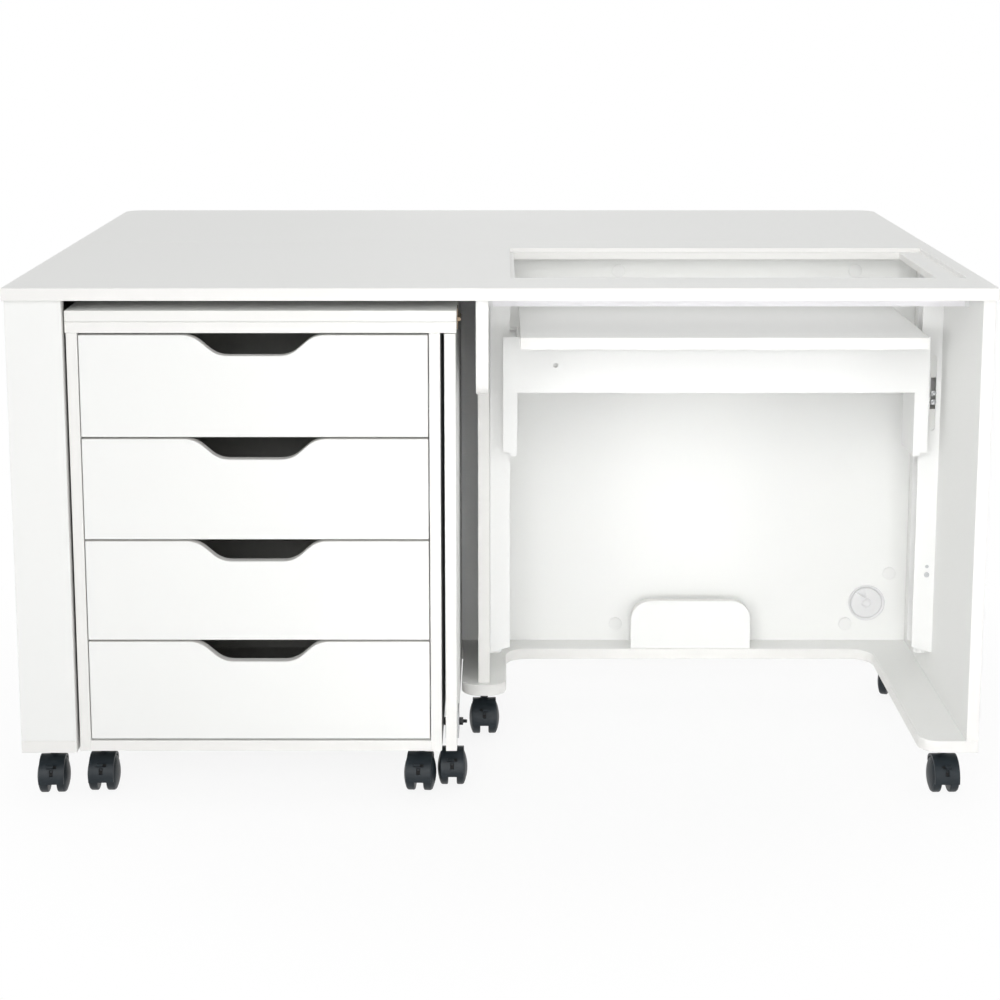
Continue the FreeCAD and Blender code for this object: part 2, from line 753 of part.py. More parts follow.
def make_carriage():
    low = f"({CARRIAGE_TOP} - carriage_length)"
    half = "carriage_leg / 2"
    notch = "carriage_length - carriage_panel"
    right = f"({CARRIAGE_WIDTH} - carriage_leg)"
    face = plate(
        "xz",
        [
            ("0", "carriage_step"),
            (half, "carriage_step"),
            (half, "0"),
            ("carriage_leg", "0"),
            ("carriage_leg", notch),
            (right, notch),
            (right, "0"),
            (f"{right} + {half}", "0"),
            (f"{right} + {half}", "carriage_step"),
            (CARRIAGE_WIDTH, "carriage_step"),
            (CARRIAGE_WIDTH, "carriage_length"),
            ("0", "carriage_length"),
        ],
        "steel",
        (CARRIAGE_LEFT, CARRIAGE_FRONT, low),
    )
    shelf = box(
        (PLATFORM_WIDTH, "carriage_flange", "steel"),
        (f"{OPENING_LEFT} + platform_left", CARRIAGE_FRONT, CARRIAGE_TOP),
    )
    wing_size = ("steel", f"{GAS_Y} + gas_radius - {CARRIAGE_FRONT}", "carriage_length")
    left_wing_x = f"{CARRIAGE_LEFT} + carriage_leg - steel"
    right_wing_x = f"{CARRIAGE_LEFT} + {right}"
    left_lug = ("carriage_gap + carriage_leg - gas_inset + gas_radius", "2 * gas_radius", "gas_lug")
    right_lug = ("carriage_right_gap + carriage_leg - gas_inset + gas_radius", "2 * gas_radius", "gas_lug")
    lug_y = f"{GAS_Y} - gas_radius"
    lug_z = f"{CARRIAGE_TOP} - gas_lug"
    solids = [
        face,
        shelf,
        box(wing_size, (left_wing_x, CARRIAGE_FRONT, low)),
        box(wing_size, (right_wing_x, CARRIAGE_FRONT, low)),
        box(left_lug, (f"{KNEE_LEFT} + gas_inset - gas_radius", lug_y, lug_z)),
        box(right_lug, (right_wing_x, lug_y, lug_z)),
    ]
    hole = rod(
        "carriage_hole",
        "steel + 2 * overcut",
        (
            f"{CARRIAGE_LEFT} + carriage_hole_left",
            f"{CARRIAGE_FRONT} - overcut",
            f"{CARRIAGE_TOP} - carriage_hole_drop",
        ),
        "y",
    )
    node(cut(join(solids), [hole]), "lift_carriage")


def make_sliders():
    """Nylon blocks on the carriage wings that run inside the guide channels."""
    left_reach = "(carriage_gap + carriage_leg - 2 * steel - play)"
    right_reach = "(carriage_right_gap + carriage_leg - 2 * steel - play)"
    depth = "guide_depth - 2 * steel - 2 * play"
    y = f"{GUIDE_FRONT} + steel + play"
    low = f"{CARRIAGE_TOP} - carriage_length + slider_margin"
    high = f"{CARRIAGE_TOP} - slider_margin - slider_height"
    left = f"{KNEE_LEFT} + steel + play"
    right = f"{INNER_RIGHT} - steel - play - {right_reach}"
    blocks = [
        box((reach, depth, "slider_height"), (x, y, z))
        for x, reach in ((left, left_reach), (right, right_reach))
        for z in (low, high)
    ]
    node(group(blocks), "lift_sliders")


def make_gas_spring(left):
    """Cylinder on a bracket of the upright, and the rod below the carriage lug."""
    wall = KNEE_LEFT if left else INNER_RIGHT
    x = f"({wall} + gas_inset)" if left else f"({wall} - gas_inset)"
    lug_z = f"({CARRIAGE_TOP} - gas_lug)"
    reach = f"({lug_z} + platform_drop - {GAS_TOP} + gas_gland + overcut + gas_piston)"
    rod_z = f"({lug_z} - {reach})"
    body_z = f"({BASE_TOP} + gas_floor)"
    length = f"({GAS_TOP} - {body_z})"
    bracket = box(
        ("gas_inset", "2 * gas_radius - 2 * gas_wall", "gas_foot"),
        (wall if left else x, f"{GAS_Y} - gas_radius + gas_wall", body_z),
    )
    body = rod("gas_radius", length, (x, GAS_Y, body_z), "z")
    bore = rod(
        "gas_radius - gas_wall",
        f"{length} - gas_gland - gas_wall",
        (x, GAS_Y, f"{body_z} + gas_wall"),
        "z",
    )
    gland_start = (x, GAS_Y, f"{GAS_TOP} - gas_gland - overcut")
    gland = rod("gas_rod + fit", "gas_gland + 2 * overcut", gland_start, "z")
    cylinder = cut(join([bracket, body]), [bore, gland])
    shaft = rod("gas_rod", reach, (x, GAS_Y, rod_z), "z")
    piston = rod("gas_radius - gas_wall - play", "gas_piston", (x, GAS_Y, rod_z), "z")
    return cylinder, join([shaft, piston])


def make_lift():
    platform = box(
        (PLATFORM_WIDTH, f"{OPENING_DEPTH} - 2 * platform_gap", "board"),
        (
            f"{OPENING_LEFT} + platform_left",
            f"{OPENING_FRONT} + platform_gap",
            "table_height - platform_drop - board",
        ),
    )
    node(platform, "lift_platform")
    node(group(make_lift_guide(True) + make_lift_guide(False)), "lift_guides")
    make_carriage()
    make_sliders()
    springs = [make_gas_spring(left) for left in (True, False)]
    node(group([cylinder for cylinder, shaft in springs]), "gas_cylinders")
    node(group([shaft for cylinder, shaft in springs]), "gas_rods")


def make_caddy_case():
    side_size = ("caddy_board", CADDY_DEPTH, CADDY_SIDE)
    node(box(side_size, (CADDY_LEFT, CADDY_FRONT, "caster_height")), "caddy_left_side")
    node(box(side_size, (f"{CADDY_RIGHT} - caddy_board", CADDY_FRONT, "caster_height")), "caddy_right_side")
    floor = box((DRAWER_SPACE, CADDY_DEPTH, "caddy_board"), (DRAWER_LEFT, CADDY_FRONT, "caster_height"))
    corners = ("caddy_front_left", "caddy_front_right", "caddy_rear_left", "caddy_rear_right")
    node(cut(floor, [stem_bore(*STEMS[name]) for name in corners]), "caddy_bottom")
    back = box(
        (DRAWER_SPACE, "caddy_back_board", f"{CADDY_SIDE} - caddy_board"),
        (DRAWER_LEFT, f"{CADDY_REAR} - caddy_back_board", "caster_height + caddy_board"),
    )
    node(back, "caddy_back")
    lid_size = (CADDY_TOP_WIDTH, CADDY_DEPTH, "caddy_board")
    node(box(lid_size, (CADDY_TOP_LEFT, CADDY_FRONT, CADDY_SIDE_TOP)), "caddy_top")
    leaf_z = f"{CADDY_SIDE_TOP} + caddy_board + play"
    node(box(lid_size, (CADDY_TOP_LEFT, CADDY_FRONT, leaf_z)), "caddy_leaf")


def make_gate():
    panel = box(
        ("caddy_board", CADDY_DEPTH, f"{CADDY_SIDE} - gate_top_gap"),
        (GATE_LEFT, CADDY_FRONT, "caster_height"),
    )
    bolt_hole = rod(
        "strap_bolt + fit",
        "caddy_board + 2 * overcut",
        (f"{GATE_LEFT} - overcut", GATE_STEM_Y, GATE_BOLT_Z),
        "x",
    )
    node(cut(panel, [stem_bore(*STEMS["gate"]), bolt_hole]), "caddy_gate")


def make_flip_hinge(y):
    """Hinge on the right-hand ends of the caddy top and its fold-over leaf."""
    edge = f"({CADDY_TOP_LEFT} + {CADDY_TOP_WIDTH})"
    middle = f"({CADDY_SIDE_TOP} + caddy_board + play / 2)"
    tall = "(caddy_board - flip_hinge_plate)"
    size = ("flip_hinge_plate", "flip_hinge_length", f"2 * {tall}")
    leaves = box(size, (edge, y, f"{middle} - {tall}"))
    barrel_start = (f"{edge} + flip_hinge_knuckle", y, middle)
    barrel = rod("flip_hinge_knuckle", "flip_hinge_length", barrel_start, "y")
    return join([leaves, barrel])


def make_gate_hinge(z):
    """Hinge folded into the gap between the caddy and the gate, with its barrel behind them."""
    size = ("flip_hinge_plate", "gate_hinge_reach + gate_gap / 2", "gate_hinge_length")
    y = f"{CADDY_REAR} - gate_hinge_reach"
    barrel_x = f"{CADDY_RIGHT} + gate_gap / 2"
    barrel_y = f"{CADDY_REAR} + gate_gap / 2"
    return join(
        [
            box(size, (CADDY_RIGHT, y, z)),
            box(size, (f"{GATE_LEFT} - flip_hinge_plate", y, z)),
            rod("gate_gap / 2", "gate_hinge_length", (barrel_x, barrel_y, z), "z"),
        ]
    )


def make_gate_strap():
    """Steel straps on both faces of the gate above its caster, and the bolt through them."""
    size = ("strap_board", "strap_depth", "strap_height")
    y = f"{GATE_STEM_Y} - strap_depth / 2"
    straps = [
        box(size, (f"{GATE_LEFT} - strap_board", y, "caster_height")),
        box(size, (GATE_RIGHT, y, "caster_height")),
    ]
    holes = [
        rod(
            "strap_bolt + fit",
            "strap_board + 2 * overcut",
            (f"{x} - overcut", GATE_STEM_Y, GATE_BOLT_Z),
            "x",
        )
        for x in (f"{GATE_LEFT} - strap_board", GATE_RIGHT)
    ]
    nut_x = f"{GATE_LEFT} - strap_board - bolt_nut_height"
    head_x = f"{GATE_RIGHT} + strap_board"
    shank = "caddy_board + 2 * strap_board + bolt_nut_height + 2 * bolt_head_height"
    bolt = join(
        [
            rod("strap_bolt", shank, (nut_x, GATE_STEM_Y, GATE_BOLT_Z), "x"),
            rod("bolt_head", "bolt_nut_height", (nut_x, GATE_STEM_Y, GATE_BOLT_Z), "x"),
            rod("bolt_head", "bolt_head_height", (head_x, GATE_STEM_Y, GATE_BOLT_Z), "x"),
        ]
    )
    return [cut(strap, [hole]) for strap, hole in zip(straps, holes)] + [bolt]


def make_caddy_fittings():
    near = f"{CADDY_FRONT} + flip_hinge_inset"
    far = f"{CADDY_REAR} - flip_hinge_inset - flip_hinge_length"
    low = "caster_height + gate_hinge_inset"
    high = f"{CADDY_SIDE_TOP} - gate_hinge_inset - gate_hinge_length"
    fittings = [make_flip_hinge(near), make_flip_hinge(far), make_gate_hinge(low), make_gate_hinge(high)]
    node(group(fittings + make_gate_strap()), "caddy_fittings")


def front_low(number):
    """Lower edge of a drawer front; number 0 is the top drawer."""
    below = DRAWERS - 1 - number
    return f"(caster_height + caddy_board + drawer_gap + {below} * ({FRONT_HEIGHT} + drawer_gap))"


def make_drawer_front(number):
    middle = f"{FRONT_WIDTH} / 2"
    dip = f"{FRONT_HEIGHT} - scoop_depth"
    front = plate(
        "xz",
        [
            ("0", "0"),
            (FRONT_WIDTH, "0"),
            (FRONT_WIDTH, FRONT_HEIGHT),
            (f"{middle} + scoop_top / 2", FRONT_HEIGHT),
            (f"{middle} + scoop_flat / 2", dip),
            (f"{middle} - scoop_flat / 2", dip),
            (f"{middle} - scoop_top / 2", FRONT_HEIGHT),
            ("0", FRONT_HEIGHT),
        ],
        "caddy_board",
        (f"{DRAWER_LEFT} + drawer_side_gap", CADDY_FRONT, front_low(number)),
        [((3, 4, 5, 6), "scoop_round")],
    )
    node(front, f"drawer_{number + 1}_front")


def make_drawer_box(number):
    left = f"({DRAWER_LEFT} + runner_space)"
    y = f"({CADDY_FRONT} + caddy_board)"
    z = f"({front_low(number)} + drawer_rise)"
    inner = f"{BOX_WIDTH} - 2 * drawer_wall"
    wall = ("drawer_wall", DRAWER_DEPTH, DRAWER_HEIGHT)
    runner = (
        "runner_space - runner_wall - play",
        DRAWER_DEPTH,
        "runner_height - 2 * runner_wall - 2 * play",
    )
    runner_z = f"{z} + runner_rise + runner_wall + play"
    solids = [
        box(wall, (left, y, z)),
        box(wall, (f"{left} + {BOX_WIDTH} - drawer_wall", y, z)),
        box(
            (inner, "drawer_wall", DRAWER_HEIGHT),
            (f"{left} + drawer_wall", f"{y} + {DRAWER_DEPTH} - drawer_wall", z),
        ),
        box(
            (inner, f"{DRAWER_DEPTH} - drawer_wall", "drawer_bottom"),
            (f"{left} + drawer_wall", y, f"{z} + bottom_rise"),
        ),
        box(runner, (f"{DRAWER_LEFT} + runner_wall + play", y, runner_z)),
        box(runner, (f"{left} + {BOX_WIDTH}", y, runner_z)),
    ]
    node(group(solids), f"drawer_{number + 1}_box")


def make_runner_rails():
    """Channels on the caddy sides that the drawer runners slide in."""
    rails = []
    y = f"{CADDY_FRONT} + caddy_board"
    rail = ("runner_wall + runner_lip", DRAWER_DEPTH, "runner_height")
    hollow = ("runner_lip + overcut", f"{DRAWER_DEPTH} + 2 * overcut", "runner_height - 2 * runner_wall")
    right = f"({DRAWER_LEFT} + {DRAWER_SPACE})"
    for number in range(DRAWERS):
        z = f"{front_low(number)} + drawer_rise + runner_rise"
        sides = (
            (DRAWER_LEFT, f"{DRAWER_LEFT} + runner_wall"),
            (f"{right} - runner_wall - runner_lip", f"{right} - runner_wall - runner_lip - overcut"),
        )
        for rail_x, hollow_x in sides:
            inner = box(hollow, (hollow_x, f"{y} - overcut", f"{z} + runner_wall"))
            rails.append(cut(box(rail, (rail_x, y, z)), [inner]))
    node(group(rails), "runner_rails")


def make_hood_pattern(width):
    """Caster hood with its neck and stem. The stem stands at the origin and the wheel trails to -Y."""
    rib = "(wheel_gap - 2 * play)"
    hood_width = f"({width} - 2 * hood_inset)"
    axle_y = "-trail"
    barrel = rod("hood_radius", hood_width, (f"-{hood_width} / 2", axle_y, "wheel_radius"), "x")
    neck = rod(
        "neck_radius",
        "caster_height - play - wheel_radius - axle_radius - play",
        ("0", "0", "wheel_radius + axle_radius + play"),
        "z",
    )
    stem = rod("stem_radius", "stem_length", ("0", "0", "caster_height - play"), "z")
    floor_cut = box(
        (f"{hood_width} + 2 * overcut", "2 * hood_radius + 2 * overcut", "hood_lift + hood_radius"),
        (
            f"-{hood_width} / 2 - overcut",
            f"{axle_y} - hood_radius - overcut",
            "-hood_radius",
        ),
    )
    rear_cut = box(
        (f"{hood_width} + 2 * overcut", "hood_radius", "2 * hood_radius"),
        (f"-{hood_width} / 2 - overcut", "hood_rear", "0"),
    )
    cavity_radius = "hood_radius - hood_wall"
    cavity_length = f"({hood_width} - {rib}) / 2 + overcut"
    cavities = [
        rod(cavity_radius, cavity_length, (x, axle_y, "wheel_radius"), "x")
        for x in (f"{rib} / 2", f"-{hood_width} / 2 - overcut")
    ]
    axle_bore = rod("axle_radius + fit", f"{width}", (f"-{width} / 2", axle_y, "wheel_radius"), "x")
    core = rod("hood_radius - slot_recess", hood_width, (f"-{hood_width} / 2", axle_y, "wheel_radius"), "x")
    slot_y = f"{axle_y} - hood_radius - overcut"
    slot_bar = box(
        ("slot_bar_width", "hood_radius", "slot_bar_height"),
        ("-slot_bar_width / 2", slot_y, "slot_bar_rise"),
    )
    slot_stem = box(
        ("slot_stem_width", "hood_radius", "slot_stem_height"),
        ("-slot_stem_width / 2", slot_y, "slot_bar_rise - slot_gap - slot_stem_height"),
    )
    slots = [cut(slot, [core]) for slot in (slot_bar, slot_stem)]
    barrel = cut(barrel, [floor_cut, rear_cut] + cavities + slots)
    return cut(join([barrel, neck, stem]), [axle_bore])


def make_wheel_pattern(width):
    """Two domed wheels on one axle, in the hood's own frame."""
    wheels = []
    dome_radius = "((wheel_dome * wheel_dome + wheel_radius * wheel_radius) / (2 * wheel_dome))"
    length = f"({width} - wheel_gap) / 2"
    for side in (1, -1):
        start = "wheel_gap / 2" if side > 0 else f"-{width} / 2"
        tread = rod("wheel_radius", length, (start, "-trail", "wheel_radius"), "x")
        dome = doc.addObject("Part::Sphere", "Dome")
        bind(dome, "Radius", dome_radius)
        dome.Placement = FreeCAD.Placement(FreeCAD.Vector(), TURNS["x"])
        place(dome, (f"{side} * ({width} / 2 - {dome_radius})", "-trail", "wheel_radius"))
        wheels.append(common(tread, dome))
    axle_start = ("-wheel_gap / 2 - overcut", "-trail", "wheel_radius")
    axle = rod("axle_radius", "wheel_gap + 2 * overcut", axle_start, "x")
    return join(wheels + [axle])


ARM_MIDDLE = f"({OUTER_RIGHT} - arm_width / 2)"
STEM_FRONT = f"({BODY_FRONT} + caster_inset)"
STEM_REAR = f"({BODY_REAR} - caster_rear_inset)"
CADDY_STEM_LEFT = f"({CADDY_LEFT} + caddy_caster_left)"
CADDY_STEM_RIGHT = f"({CADDY_RIGHT} - caddy_caster_right)"
CADDY_STEM_FRONT = f"({CADDY_FRONT} + caster_inset)"
CADDY_STEM_REAR = f"({CADDY_REAR} - caster_inset)"
STEMS = {
    "left_front": (f"({OUTER_LEFT} + left_caster_inset)", STEM_FRONT),
    "left_rear": (f"({OUTER_LEFT} + left_caster_inset)", STEM_REAR),
    "centre": (f"({KNEE_LEFT} - board / 2)", f"({BODY_FRONT} + {FOOT_FRONT} + caster_inset)"),
    "right_front": (ARM_MIDDLE, STEM_FRONT),
    "right_rear": (ARM_MIDDLE, STEM_REAR),
    "caddy_front_left": (CADDY_STEM_LEFT, CADDY_STEM_FRONT),
    "caddy_front_right": (CADDY_STEM_RIGHT, CADDY_STEM_FRONT),
    "caddy_rear_left": (CADDY_STEM_LEFT, CADDY_STEM_REAR),
    "caddy_rear_right": (CADDY_STEM_RIGHT, CADDY_STEM_REAR),
    "gate": (f"({GATE_LEFT} + caddy_board / 2)", GATE_STEM_Y),
}


def set_caster(pattern, name, piece):
    """Put a copy of a caster pattern under its stem, turned to its rest angle."""
    x, y = STEMS[name]
    copy = group([pattern], "Caster")
    place(copy, (x, y, "0"))
    turn(copy, FreeCAD.Vector(0, 0, 1), f"{name}_turn")
    node(copy, f"caster_{name}_{piece}")


def make_casters():
    patterns = {}
    for width in ("wheel_width", "gate_wheel_width"):
        patterns[width] = {"hood": make_hood_pattern(width), "wheels": make_wheel_pattern(width)}
    for name in STEMS:
        width = "gate_wheel_width" if name == "gate" else "wheel_width"
        for piece, pattern in patterns[width].items():
            set_caster(pattern, name, piece)


def write_nodes():
    """Check every object and piece, then write each piece to its own file."""
    doc.recompute()
    for item in doc.Objects:
        if "Invalid" in item.State or "Error" in item.State:
            raise RuntimeError(f"{item.Label} failed: {item.State}")
    for item in nodes:
        if item.Shape.isNull() or not item.Shape.isValid() or not item.Shape.Solids:
            raise RuntimeError(f"{item.Label} has no valid solid")
    os.makedirs("parts", exist_ok=True)
    for item in nodes:
        item.Shape.exportStep(os.path.join("parts", f"{item.Label}.step"))
    print(len(nodes), "pieces written")


make_worktop()
make_front_rail()
make_uprights()
make_base_boards()
make_pedal_stop()
make_grommet()
make_cover_caps()
make_leaf_fittings()
make_lift()
make_caddy_case()
make_gate()
make_caddy_fittings()
for drawer in range(DRAWERS):
    make_drawer_front(drawer)
    make_drawer_box(drawer)
make_runner_rails()
make_casters()
write_nodes()
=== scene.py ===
"""Looks of a folding sewing and cutting table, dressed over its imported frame.

Metres, +Z up, +X to the right of a person seated at the table, -Y towards that person.
"""
import json
import math

import bmesh
import bpy
from mathutils import Matrix, Vector


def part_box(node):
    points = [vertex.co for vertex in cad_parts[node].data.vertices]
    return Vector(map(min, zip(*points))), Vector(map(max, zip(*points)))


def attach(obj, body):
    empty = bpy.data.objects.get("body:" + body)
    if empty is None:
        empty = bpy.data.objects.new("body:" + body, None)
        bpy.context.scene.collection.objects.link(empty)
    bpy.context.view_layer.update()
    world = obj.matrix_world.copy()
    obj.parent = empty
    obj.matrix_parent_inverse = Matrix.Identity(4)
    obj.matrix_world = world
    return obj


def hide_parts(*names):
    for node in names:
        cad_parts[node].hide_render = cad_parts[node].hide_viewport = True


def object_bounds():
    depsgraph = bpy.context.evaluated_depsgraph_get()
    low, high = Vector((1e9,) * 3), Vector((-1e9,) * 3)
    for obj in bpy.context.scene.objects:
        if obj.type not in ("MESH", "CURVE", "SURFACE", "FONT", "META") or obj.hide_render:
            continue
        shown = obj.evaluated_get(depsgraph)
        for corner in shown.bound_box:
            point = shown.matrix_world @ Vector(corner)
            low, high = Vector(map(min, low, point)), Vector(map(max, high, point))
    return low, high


bl_info = {
    "name": "Sewing and Cutting Table",
    "version": (1, 0, 0),
    "blender": (4, 5, 0),
    "location": "3D View > Sidebar > Sewing Table",
    "description": "Dresses the packed table with laminate boards, steel fittings and casters",
    "category": "Object",
}

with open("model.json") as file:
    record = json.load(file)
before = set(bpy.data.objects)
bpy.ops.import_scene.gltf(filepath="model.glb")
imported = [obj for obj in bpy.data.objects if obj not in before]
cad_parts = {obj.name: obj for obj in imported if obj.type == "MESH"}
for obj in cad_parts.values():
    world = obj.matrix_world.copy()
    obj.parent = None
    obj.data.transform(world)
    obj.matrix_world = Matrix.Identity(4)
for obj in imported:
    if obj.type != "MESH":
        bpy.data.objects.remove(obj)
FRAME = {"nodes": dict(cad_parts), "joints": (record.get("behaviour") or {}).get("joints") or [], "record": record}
CAD_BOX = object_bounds()
JOINTS = {joint["name"]: joint for joint in FRAME["joints"]}
BODY_OF = {
    node: body for body, members in FRAME["record"]["behaviour"]["bodies"].items() for node in members
}

MM = 0.001
MERGE_DISTANCE = 0.01 * MM
FLAT_ANGLE = math.radians(0.2)
SHARP_ANGLE = math.radians(35.0)
ROUND_STEPS = 48
RELIEF_STRENGTH = 0.6
BOARD_EDGE_STEPS = 3
FACE_SHARE = 0.7
LIFT_MIDDLE = 0.3
SENSOR_WIDTH = 36.0

DOWN = (0.0, 0.0, -1.0)
FRONT = (0.0, -1.0, 0.0)
REAR = (0.0, 1.0, 0.0)
RIGHT = (1.0, 0.0, 0.0)

TOP_BOARDS = ("fixed_top", "rear_leaf", "lift_platform")
STAND_BOARDS = (
    "left_fascia",
    "left_side_panel",
    "right_upright",
    "back_panel",
    "centre_upright",
    "base_right",
    "base_left",
    "pedal_stop",
)
CADDY_BOARDS = (
    "caddy_left_side",
    "caddy_right_side",
    "caddy_bottom",
    "caddy_back",
    "caddy_top",
    "caddy_leaf",
    "caddy_gate",
)
DRAWERS = ("drawer_1", "drawer_2", "drawer_3", "drawer_4")
CASTERS = (
    "left_front",
    "left_rear",
    "centre",
    "right_front",
    "right_rear",
    "caddy_front_left",
    "caddy_front_right",
    "caddy_rear_left",
    "caddy_rear_right",
    "gate",
)


def colour_setting(name, description, default):
    """A colour that a user may change."""
    return bpy.props.FloatVectorProperty(
        name=name, description=description, subtype="COLOR", min=0.0, max=1.0, default=default,
    )


def length_setting(name, description, default):
    """A length in metres that a user may change."""
    return bpy.props.FloatProperty(
        name=name, description=description, unit="LENGTH", min=0.0, default=default,
    )


def power_setting(name, description, default):
    """A lamp's power in watts."""
    return bpy.props.FloatProperty(
        name=name, description=description, subtype="POWER", unit="POWER", min=0.0, default=default,
    )


def spread_setting(name, description, degrees):
    """The angle to which a grid narrows a lamp's light."""
    return bpy.props.FloatProperty(
        name=name,
        description=description,
        subtype="ANGLE",
        unit="ROTATION",
        min=0.0,
        max=math.pi,
        default=math.radians(degrees),
    )


class BoardLook(bpy.types.PropertyGroup):
    """Laminate boards and their edge bands."""

    face_colour: colour_setting(
        "Face colour", "Colour of the laminate on the boards' faces", (0.888, 0.892, 0.877),
    )
    # Darker than the face colour partly for the bands' own warmer tone and partly as painted shade that holds down
    # the brightly lit edges.
    band_colour_and_shade: colour_setting(
        "Edge band colour", "Colour of the bands glued to the boards' edges", (0.866, 0.859, 0.838),
    )
    drawer_colour: colour_setting(
        "Drawer colour", "Colour of the foil on the drawer boxes", (0.62, 0.62, 0.60),
    )
    edge_radius: length_setting("Edge radius", "Rounding of the boards' edges", 1.0 * MM)


class FittingLook(bpy.types.PropertyGroup):
    """Steel and moulded fittings."""

    powder_colour: colour_setting(
        "Powder coat", "Colour of the powder coat on the lift and the swing frame", (0.87, 0.872, 0.862),
    )
    zinc_colour: colour_setting(
        "Zinc", "Colour of the zinc plating on hinges and runners", (0.56, 0.57, 0.58),
    )
    screw_colour: colour_setting(
        "Bolt", "Colour of the blackened bolt through the gate", (0.025, 0.026, 0.028),
    )
    rail_colour: colour_setting(
        "Rail", "Colour of the rail below the worktop", (0.885, 0.875, 0.90),
    )
    plastic_colour: colour_setting(
        "Pale plastic", "Colour of the cable outlet and the rail's end caps", (0.77, 0.77, 0.775),
    )
    nylon_colour: colour_setting(
        "Natural nylon", "Colour of the lift's slider blocks and stops", (0.86, 0.855, 0.83),
    )
    cover_colour: colour_setting(
        "Cover caps", "Colour of the caps over the screws on the back panel", (0.845, 0.848, 0.836),
    )
    bronze_colour: colour_setting(
        "Bronze", "Colour of the hinges between the caddy's top and its leaf", (0.26, 0.20, 0.14),
    )
    edge_radius: length_setting("Edge radius", "Rounding of the fittings' edges", 0.35 * MM)


class CasterLook(bpy.types.PropertyGroup):
    """Twin-wheel casters."""

    colour: colour_setting(
        "Caster colour", "Colour of the moulded hoods and wheels", (0.0125, 0.0185, 0.0235),
    )
    edge_radius: length_setting("Edge radius", "Rounding of the hoods' edges", 0.7 * MM)
    groove_depth: length_setting(
        "Groove depth", "Depth of the ring groove on each wheel's dome", 0.5 * MM,
    )


class StageLook(bpy.types.PropertyGroup):
    """Floor, lamps and camera."""

    floor_colour: colour_setting("Floor colour", "Colour of the studio floor", (0.95, 0.95, 0.95))
    sky_strength: bpy.props.FloatProperty(
        name="Sky strength",
        description="Brightness of the even light from all sides",
        min=0.0,
        default=0.56,
    )
    floor_white: bpy.props.FloatProperty(
        name="Floor white",
        description="Share of plain white that is seen on the floor below the table",
        subtype="FACTOR",
        min=0.0,
        max=1.0,
        default=0.88,
    )
    left_power: power_setting(
        "Left power", "Power of the narrow lamp to the left in front of the table", 0.8,
    )
    right_power: power_setting(
        "Right power", "Power of the narrow lamp to the right in front of the table", 0.55,
    )
    side_spread: spread_setting(
        "Side spread", "Angle to which grids narrow the light of the two side lamps", 24.0,
    )
    knee_power: power_setting(
        "Knee power", "Power of the narrow low lamp that faces the knee space", 0.21,
    )
    knee_spread: spread_setting(
        "Knee spread", "Angle to which a grid narrows the light of the knee lamp", 11.0,
    )
    front_power: power_setting(
        "Front power", "Power of the large low lamp behind the camera", 58.0,
    )
    high_power: power_setting(
        "High power", "Power of the large lamp high in front of the table", 78.0,
    )
    rear_power: power_setting(
        "Rear power", "Power of the large lamp high behind the table", 24.0,
    )
    back_power: power_setting("Back power", "Power of the low lamp behind the table", 22.0)
    camera_distance: length_setting(
        "Camera distance", "Distance from the worktop's front edge to the camera", 2.834,
    )
    camera_height: length_setting("Camera height", "Height of the camera above the floor", 1.189)
    camera_pitch: bpy.props.FloatProperty(
        name="Camera pitch",
        description="Angle by which the camera looks down",
        subtype="ANGLE",
        unit="ROTATION",
        default=math.radians(9.57),
    )
    camera_lens: bpy.props.FloatProperty(
        name="Lens",
        description="Focal length in millimetres on a 36 mm sensor",
        unit="CAMERA",
        min=1.0,
        default=73.15,
    )
    camera_rise: bpy.props.FloatProperty(
        name="Lens rise",
        description="Upward shift of the picture, as a share of its width",
        default=-0.1734,
    )


LOOKS = {
    "sewing_table_boards": BoardLook,
    "sewing_table_fittings": FittingLook,
    "sewing_table_casters": CasterLook,
    "sewing_table_stage": StageLook,
}


# Node groups that several finishes share
def new_group(name, inputs, outputs):
    """An empty shader group with named sockets, and its two end nodes."""
    tree = bpy.data.node_groups.new(name, "ShaderNodeTree")
    for label, kind, default in inputs:
        socket = tree.interface.new_socket(name=label, in_out="INPUT", socket_type=kind)
        if default is not None:
            socket.default_value = default
    for label, kind in outputs:
        tree.interface.new_socket(name=label, in_out="OUTPUT", socket_type=kind)
    start = tree.nodes.new("NodeGroupInput")
    end = tree.nodes.new("NodeGroupOutput")
    return tree, start, end


def math_node(tree, operation, *values):
    """A math node whose inputs are numbers or other nodes' outputs."""
    item = tree.nodes.new("ShaderNodeMath")
    item.operation = operation
    for socket, given in zip(item.inputs, values):
        if isinstance(given, (int, float)):
            socket.default_value = given
        else:
            tree.links.new(given, socket)
    return item.outputs[0]


def noise_node(tree, vector, scale, detail):
    """A noise whose scale is a number or another node's output."""
    item = tree.nodes.new("ShaderNodeTexNoise")
    item.inputs["Detail"].default_value = detail
    tree.links.new(vector, item.inputs["Vector"])
    if isinstance(scale, (int, float)):
        item.inputs["Scale"].default_value = scale
    else:
        tree.links.new(scale, item.inputs["Scale"])
    return item.outputs[0]


